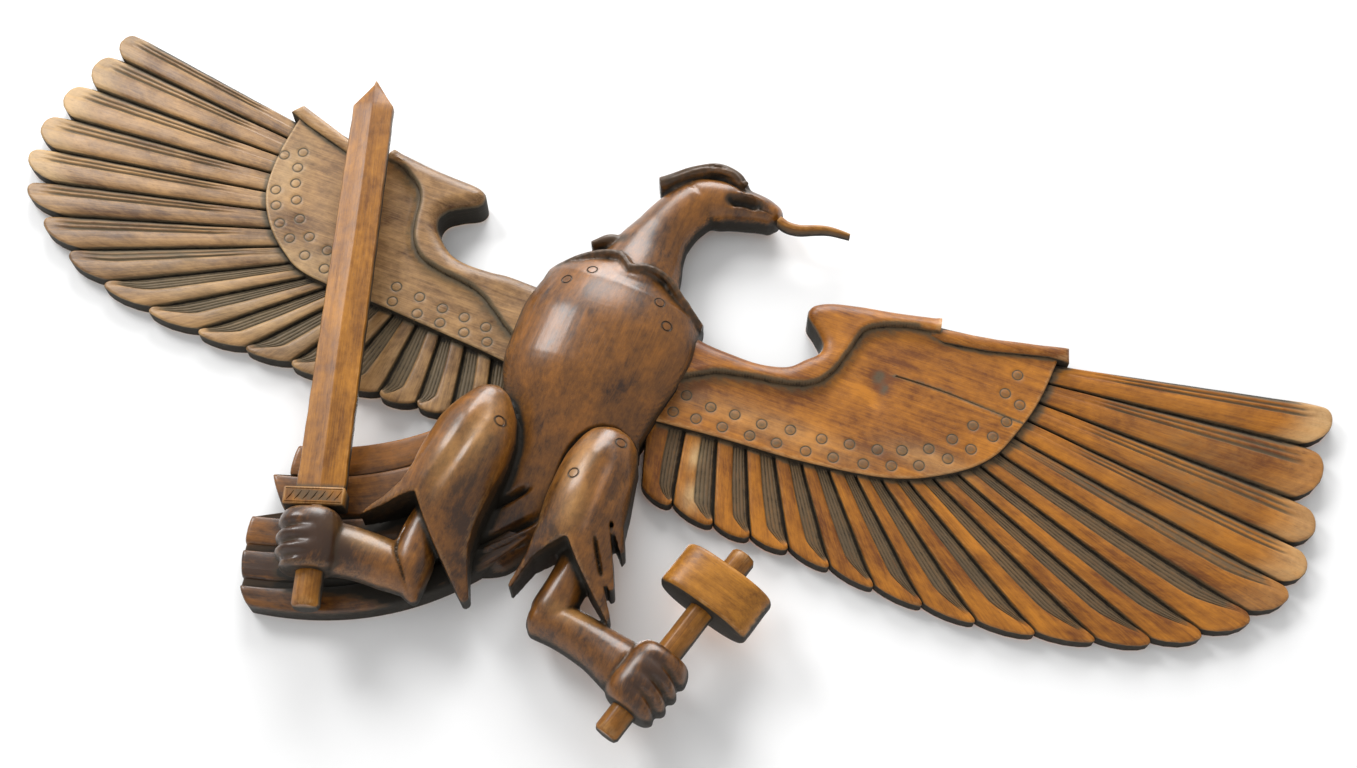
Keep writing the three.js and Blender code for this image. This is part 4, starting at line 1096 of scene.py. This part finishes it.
def body_piece(look, name):
    limbs = [limb(TRUNK, 64), limb(NECK, 48), limb(HEAD, 40), limb(CREST), limb(NAPE_TUFT)]
    limbs += [limb(stations, 20) for stations in COLLARS]
    limbs += [trimmed_limb(thigh, 64) for thigh in THIGHS] + [limb(stations, 16) for stations in LUMPS]
    limbs += [limb(stations, 36) for stations in FORELEGS] + [claw(LEFT_CLAW), claw(RIGHT_CLAW)]
    obj = build(name, *limbs)
    remesh = obj.modifiers.new("remesh", "REMESH")
    remesh.mode = "VOXEL"
    remesh.voxel_size = look.facet
    settle(obj)
    verts = vertices(obj)
    edges = np.empty(len(obj.data.edges) * 2, np.int32)
    obj.data.edges.foreach_get("vertices", edges)
    verts = relax(verts, edges.reshape(-1, 2), look.blend)
    move(obj, verts)
    facing = ease(0.1, 0.4, -normals_of(obj)[:, 1]) * (verts[:, 1] < -5)
    for kind, half_width, deepness, line in CUTS:
        away, where = distance_to_line(verts[:, [0, 2]], paced(line, np.linspace(0, 1, 16)))
        near = np.maximum(1 - away / half_width, 0)
        profile = near * near * (3 - 2 * near) if kind == "valley" else near ** 1.2
        if kind == "belly chip":
            profile = profile * (verts[:, 1] > -BELLY_DEPTH)
        ends = ease(0, 0.25, where) * ease(1, 0.75, where)
        verts[:, 1] += deepness * profile * (0.15 + 0.85 * ends) * facing
    move(obj, verts)

    def tail_root(place):
        return spline(TAIL_ROOTS, place / len(TAIL_ENDS))

    def tail_bow(place):
        return np.interp(place, np.arange(len(TAIL_BOWS)), TAIL_BOWS)

    kinds = np.tile([0.0, 0.0, 1.0], (len(TAIL_ENDS), 1))
    board, facts = feather_board(tail_root, np.array(TAIL_ENDS, float), np.full(len(TAIL_ENDS), 2.0), tail_bow,
                                 (TAIL_DEPTH, TAIL_DEPTH), kinds, 9)
    tail = build("tail", board)
    combine(obj, ("UNION", tail),
            ("DIFFERENCE", ring_cutter(BODY_RINGS, obj, 4.4)),
            ("DIFFERENCE", build("grip_hole", skin(stand(stick(GRIP_RADIUS + GAP, [0, 60, 514]), SWORD)))),
            ("DIFFERENCE", build("handle_hole", skin(stand(stick(HANDLE_RADIUS + GAP, [0, 60, 187]), MALLET)))),
            ("DIFFERENCE", wing_room(RIGHT_WING, 0, 1, BAND_DEPTH + GAP)),
            ("DIFFERENCE", wing_room(LEFT_WING, 0, 1, BAND_DEPTH + GAP)),
            ("DIFFERENCE", behind_wall()))
    # Darker lines along the collars, the crest and the nape tuft, and painted shade in the slit of the mouth.
    dark_lines = [(COLLARS[0], 5, 0.65), (COLLARS[1], 5, 0.65), (CREST, 9, 0.6), (NAPE_TUFT, 7, 0.6),
                  ([(36, 213), (48, 216), (62, 217)], 5, 0.9)]
    spots = []
    for line, reach, amount in dark_lines:
        for x, z in paced([place[:2] for place in line], np.linspace(0, 1, 12)):
            spots.append(((x, z), (reach, reach), amount, "wax_and_shade"))
    for x, z in BODY_RINGS:
        spots.append(((x, z), (4.4, 0.9), 0.7, "ring"))
    for (x, z), reach in (((-185, -212), 75), ((133, -235), 34), ((-155, -230), 30), ((-20, -165), 40)):
        spots.append(((x, z), (reach, reach), -2.2, "tone"))
    # Painted highlights: pale streaks along the thighs and along the tops of the forearms stand for sheen.
    for x, z, wide, high in ((-72, -95, 13, 34), (-84, -128, 11, 26), (18, -92, 10, 30), (27, -125, 9, 22),
                             (-120, -212, 22, 8), (60, -206, 20, 7)):
        spots.append(((x, z), (wide, high), 0.45, "bare"))
    facts["spots"] = spots
    age(obj, facts, "up", 0.75, 0.45)
    return obj


def sword_pieces(name):
    heights = [0, 1, 2.5, *np.linspace(8, GRIP_LENGTH + 1, 14)]
    grip = skin(stand(stick(GRIP_RADIUS, heights, 0.12, 21), SWORD))
    half_wide, half_deep = GUARD_HALF
    low, high = GRIP_LENGTH, GRIP_LENGTH + GUARD_HEIGHT
    rings = []
    for height, shrink in ((low, 1.2), (low + 0.5, 0.4), (low + 1.4, 0), (high - 1.4, 0), (high - 0.5, 0.4),
                           (high, 1.2)):
        wide, deep = half_wide - shrink, half_deep - shrink
        corners = [(wide, deep - 1.2), (wide - 1.2, deep), (1.2 - wide, deep), (-wide, deep - 1.2),
                   (-wide, 1.2 - deep), (1.2 - wide, -deep), (wide - 1.2, -deep), (wide, 1.2 - deep)]
        rings.append([(GUARD_ASIDE + a, b, height) for a, b in corners])
    guard = skin(stand(np.array(rings), SWORD))
    strokes = []
    for k in range(7):
        middle = GUARD_ASIDE - half_wide + 6 + k * 6.6
        strokes.append([(middle - 2.4, low + 4), (middle, low + 7), (middle + 2.8, high - 4)])
    for height in (low + 2.2, high - 2.2):
        strokes.append([(GUARD_ASIDE - half_wide + 2, height), (GUARD_ASIDE + half_wide - 2, height)])
    cutters = []
    for line in strokes:
        line = np.array(line, float)
        along = np.gradient(line, axis=0)
        along /= np.linalg.norm(along, axis=1, keepdims=True)
        out = np.stack([-along[:, 1], along[:, 0]], 1)
        width = 1.1 if len(line) > 2 else 0.7
        rings = []
        for (x, z), (nx, nz), scale in zip(line, out, (0.5, 1, 0.5) if len(line) > 2 else (1, 1)):
            reach = width * scale
            rings.append([(x + nx * reach, -half_deep - 1, z + nz * reach), (x - nx * reach, -half_deep - 1, z - nz * reach),
                          (x, -half_deep + 1.3 * scale, z)])
        cutters.append(skin(stand(np.array(rings), SWORD)))
    cutter = build("guard_strokes", *cutters)
    foot = GRIP_LENGTH + GUARD_HEIGHT - 1
    blade_rings = []
    for height in [*np.linspace(foot, SWORD_LENGTH - POINT, 60), *np.linspace(SWORD_LENGTH - POINT + 4, SWORD_LENGTH, 8)]:
        share = (height - foot) / (SWORD_LENGTH - POINT - foot)
        wide = BLADE_HALF[0] + (BLADE_HALF[1] - BLADE_HALF[0]) * min(share, 1)
        thin = 1.0
        if share > 1:
            taper = (SWORD_LENGTH - height) / POINT
            wide, thin = 1.2 + (wide - 1.2) * taper, 0.45 + 0.55 * taper
        wide += 0.25 * math.sin(height * 0.21) * math.sin(height * 0.043)
        edge, ridge = BLADE_EDGE * thin, BLADE_RIDGE * (0.3 + 0.7 * thin)
        soft = min(0.9, wide * 0.4)
        middle = 0.5 * math.sin(height * 0.02)
        half = [(wide - soft * 0.2, -edge + soft), (wide - soft, -edge - 0.15), ((wide + middle) / 2, -(edge + ridge) / 2),
                (middle + soft, -ridge + 0.25), (middle, -ridge), (middle - soft, -ridge + 0.25),
                ((middle - wide) / 2, -(edge + ridge) / 2), (soft - wide, -edge - 0.15), (soft * 0.2 - wide, -edge + soft)]
        blade_rings.append([(a, b, height) for a, b in half] + [(a, -b, height) for a, b in reversed(half)])
    blade = skin(stand(np.array(blade_rings), SWORD))
    obj = build(name, grip)
    guard, blade = build("guard", guard), build("blade", blade)
    combine(obj, ("UNION", guard), ("DIFFERENCE", cutter), ("UNION", blade))
    return obj


def mallet_pieces(handle_name, head_name):
    heights = [0, 1, 2.5, *np.linspace(10, HANDLE_LENGTH - 10, 30), HANDLE_LENGTH - 2.5, HANDLE_LENGTH - 1, HANDLE_LENGTH]
    handle = build(handle_name, skin(stand(stick(HANDLE_RADIUS, heights, 0.15, 31), MALLET)))
    turn = np.linspace(0, 2 * math.pi, 72, endpoint=False)
    across = np.sign(np.cos(turn)) * np.abs(np.cos(turn)) ** (2 / 2.6)
    back = np.sign(np.sin(turn)) * np.abs(np.sin(turn)) ** (2 / 2.6)
    low = MALLET_AT - MALLET_HEIGHT / 2
    rings = []
    for height in [0, 0.5, 1.6, 3.2, *np.linspace(6, MALLET_HEIGHT - 6, 12), MALLET_HEIGHT - 3.2, MALLET_HEIGHT - 1.6,
                   MALLET_HEIGHT - 0.5, MALLET_HEIGHT]:
        shrink = rounding(np.array(min(height, MALLET_HEIGHT - height)), 3.2)
        uneven = 0.4 * waviness(across * 40, np.full(72, height), 34, 41) - 0.4
        wide, deep = MALLET_HALF[0] - shrink + uneven, MALLET_HALF[1] - shrink + uneven
        rings.append(np.stack([wide * across, deep * back, np.full(72, low + height)], 1))
    head = build(head_name, skin(stand(np.array(rings), MALLET)))
    hole = build("hole", skin(stand(stick(HANDLE_RADIUS + GAP, [-5, 60, HANDLE_LENGTH + 5]), MALLET)))
    combine(head, ("DIFFERENCE", hole))
    return handle, head


def tongue_piece(name):
    t = np.linspace(0, 1, 40)
    middle = spline(TONGUE, t)
    along = np.gradient(middle, axis=0)
    along /= np.linalg.norm(along, axis=1, keepdims=True)
    rings = []
    for k, (x, z) in enumerate(middle):
        half = 3.25 * (1 - 0.6 * t[k] ** 3)
        front = 37 - 3 * t[k] ** 2
        section = [(half, 24.6), (half, front - 1), (half - 0.9, front), (0, front + 0.3), (0.9 - half, front), (-half, front - 1),
                   (-half, 24.6), (0.6 - half, 24), (half - 0.6, 24)]
        rings.append([(x - along[k, 1] * off, -depth, z + along[k, 0] * off) for off, depth in section])
    obj = build(name, skin(np.array(rings)))
    return obj


# Operators

class EAGLE_OT_wings(bpy.types.Operator):
    """Carves both wings with their feathers, shields and leading edges"""

    bl_idname = "eagle.wings"
    bl_label = "Carve the wings"

    def execute(self, context):
        look, tools = context.scene.eagle_wings, context.scene.eagle_tools
        right = wing_piece(RIGHT_WING, look, "right_wing_carving")
        stain = stained_wood("right_wing_stain", look.right_dark, look.right_light, look.bare, look.film,
                             tools.wax_and_shade, 0.45)
        finish_piece(right, stain, "right_wing", "right_wing")
        left = wing_piece(LEFT_WING, look, "left_wing_carving")
        stain = stained_wood("left_wing_stain", look.left_dark, look.left_light, look.bare, look.film,
                             tools.wax_and_shade, 0.4)
        finish_piece(left, stain, "left_wing", "left_wing")
        return {"FINISHED"}


class EAGLE_OT_body(bpy.types.Operator):
    """Carves the body with head, legs, claws and tail from one block"""

    bl_idname = "eagle.body"
    bl_label = "Carve the body"

    def execute(self, context):
        look, tools = context.scene.eagle_body, context.scene.eagle_tools
        obj = body_piece(look, "carved_body")
        stain = stained_wood("body_stain", look.dark, look.light, look.bare, look.film, tools.wax_and_shade, 0.36, 0.7,
                             0.5)
        finish_piece(obj, stain, "body", "body")
        return {"FINISHED"}


def tool_stain(name, look):
    return stained_wood(name, look.dark, look.light, look.bare, look.film, look.wax_and_shade, 0.4)


class EAGLE_OT_sword(bpy.types.Operator):
    """Makes the sword with its guard and grip"""

    bl_idname = "eagle.sword"
    bl_label = "Make the sword"

    def execute(self, context):
        sword = sword_pieces("sword_blade_and_grip")
        guard = stand((GUARD_ASIDE, 0, GRIP_LENGTH + GUARD_HEIGHT / 2), SWORD)
        age(sword, {"spots": [((guard[0], guard[2]), (30, 9), 0.6, "wax_and_shade")]}, SWORD["lean"])
        finish_piece(sword, tool_stain("sword_stain", context.scene.eagle_tools), "tools", "sword")
        return {"FINISHED"}


class EAGLE_OT_mallet(bpy.types.Operator):
    """Makes the mallet's handle and head"""

    bl_idname = "eagle.mallet"
    bl_label = "Make the mallet"

    def execute(self, context):
        stain = tool_stain("mallet_stain", context.scene.eagle_tools)
        handle, head = mallet_pieces("mallet_stick", "mallet_block")
        age(handle, None, MALLET["lean"])
        age(head, {"spots": [((160, -150), (90, 90), 0.9, "tone")]}, MALLET["lean"] + 90)
        finish_piece(handle, stain, "tools", "mallet_handle")
        finish_piece(head, stain, "tools", "mallet_head")
        return {"FINISHED"}


class EAGLE_OT_tongue(bpy.types.Operator):
    """Makes the wavy tongue in the beak"""

    bl_idname = "eagle.tongue"
    bl_label = "Make the tongue"

    def execute(self, context):
        tongue = tongue_piece("tongue_slat")
        age(tongue)
        finish_piece(tongue, tool_stain("tongue_stain", context.scene.eagle_tools), "tongue", "tongue")
        return {"FINISHED"}


class EAGLE_OT_stage(bpy.types.Operator):
    """Sets up the backdrop, the soft lights and the camera"""

    bl_idname = "eagle.stage"
    bl_label = "Set the stage"

    def execute(self, context):
        look, scene = context.scene.eagle_stage, context.scene
        nodes = Nodes("pale_backdrop")
        paint = nodes.add("ShaderNodeBsdfDiffuse", {}, {"Color": opaque(look.backdrop)}).value()
        clear = nodes.add("ShaderNodeBsdfTransparent").value()
        behind = nodes.add("ShaderNodeNewGeometry").value("Backfacing")
        shadow = nodes.add("ShaderNodeLightPath").value("Is Shadow Ray")
        share = behind.math("MAXIMUM", shadow)
        both = nodes.add("ShaderNodeMixShader", {}, {0: share, 1: paint, 2: clear}).value()
        nodes.add("ShaderNodeOutputMaterial", {}, {"Surface": both})
        corners = [(-6000, 1, -4000), (6000, 1, -4000), (6000, 1, 5000), (-6000, 1, 5000)]
        wall = build("backdrop_wall", (corners, [(0, 1, 2, 3)]), closed=False)
        corners = [(-6000, -6000, -4000), (6000, -6000, -4000), (6000, 1, -4000), (-6000, 1, -4000)]
        floor = build("backdrop_floor", (corners, [(0, 1, 2, 3)]), closed=False)
        wall.data.materials.append(nodes.material)
        plain = Nodes("pale_floor")
        paint = plain.add("ShaderNodeBsdfDiffuse", {}, {"Color": opaque(look.backdrop)}).value()
        plain.add("ShaderNodeOutputMaterial", {}, {"Surface": paint})
        floor.data.materials.append(plain.material)
        lights = [("key", (-0.9, -1.2, 2.6), 2.0, look.key_light), ("fill", (-2.2, -1.9, 1.0), 1.2, look.fill_light),
                  ("back", (-1.0, 3.2, 1.5), 1.5, look.key_light * 1.2)]
        for name, place, size, power in lights:
            data = bpy.data.lights.new(name, "AREA")
            data.shape, data.size, data.energy = "DISK", size, power
            light = bpy.data.objects.new(name, data)
            light.location = place
            light.rotation_euler = (-Vector(place)).to_track_quat("-Z", "Y").to_euler()
            scene.collection.objects.link(light)
        world = bpy.data.worlds.new("sky")
        world.use_nodes = True
        world.node_tree.nodes["Background"].inputs["Color"].default_value = (1, 1, 1, 1)
        world.node_tree.nodes["Background"].inputs["Strength"].default_value = look.sky
        scene.world = world
        data = bpy.data.cameras.new("camera")
        data.sensor_fit, data.sensor_width = "HORIZONTAL", 36
        data.lens = 36 * 1700 / 1357
        camera = bpy.data.objects.new("camera", data)
        forward, up = Vector((-0.1592, 0.9007, 0.4042)), Vector((-0.3301, -0.4344, 0.8380))
        right = forward.cross(up)
        turned = Matrix((right, up, -forward)).transposed().to_4x4()
        camera.matrix_world = Matrix.Translation((0.29505, -1.36964, -0.57439)) @ turned
        scene.collection.objects.link(camera)
        scene.camera = camera
        scene.view_settings.view_transform = "Standard"
        return {"FINISHED"}


class EAGLE_PT_panel(bpy.types.Panel):
    """Lists the steps in order"""

    bl_idname = "EAGLE_PT_panel"
    bl_label = "Carved wall eagle"
    bl_space_type = "VIEW_3D"
    bl_region_type = "UI"
    bl_category = "Eagle"

    def draw(self, context):
        for operator in OPERATORS:
            self.layout.operator(operator.bl_idname)
        for name in GROUPS:
            group = getattr(context.scene, name)
            box = self.layout.box()
            for prop in group.__annotations__:
                box.prop(group, prop)


GROUPS = {"eagle_wings": EagleWings, "eagle_body": EagleBody, "eagle_tools": EagleTools,
          "eagle_stage": EagleStage}
OPERATORS = (EAGLE_OT_wings, EAGLE_OT_body, EAGLE_OT_sword, EAGLE_OT_mallet, EAGLE_OT_tongue, EAGLE_OT_stage)
CLASSES = (*GROUPS.values(), *OPERATORS, EAGLE_PT_panel)


def register():
    for cls in CLASSES:
        bpy.utils.register_class(cls)
    for name, group in GROUPS.items():
        setattr(bpy.types.Scene, name, PointerProperty(type=group))


def unregister():
    for name in GROUPS:
        delattr(bpy.types.Scene, name)
    for cls in reversed(CLASSES):
        bpy.utils.unregister_class(cls)


def main():
    register()
    steps = bpy.ops.eagle
    for step in (steps.wings, steps.body, steps.sword, steps.mallet, steps.tongue, steps.stage):
        step()


if __name__ == "__main__":
    main()
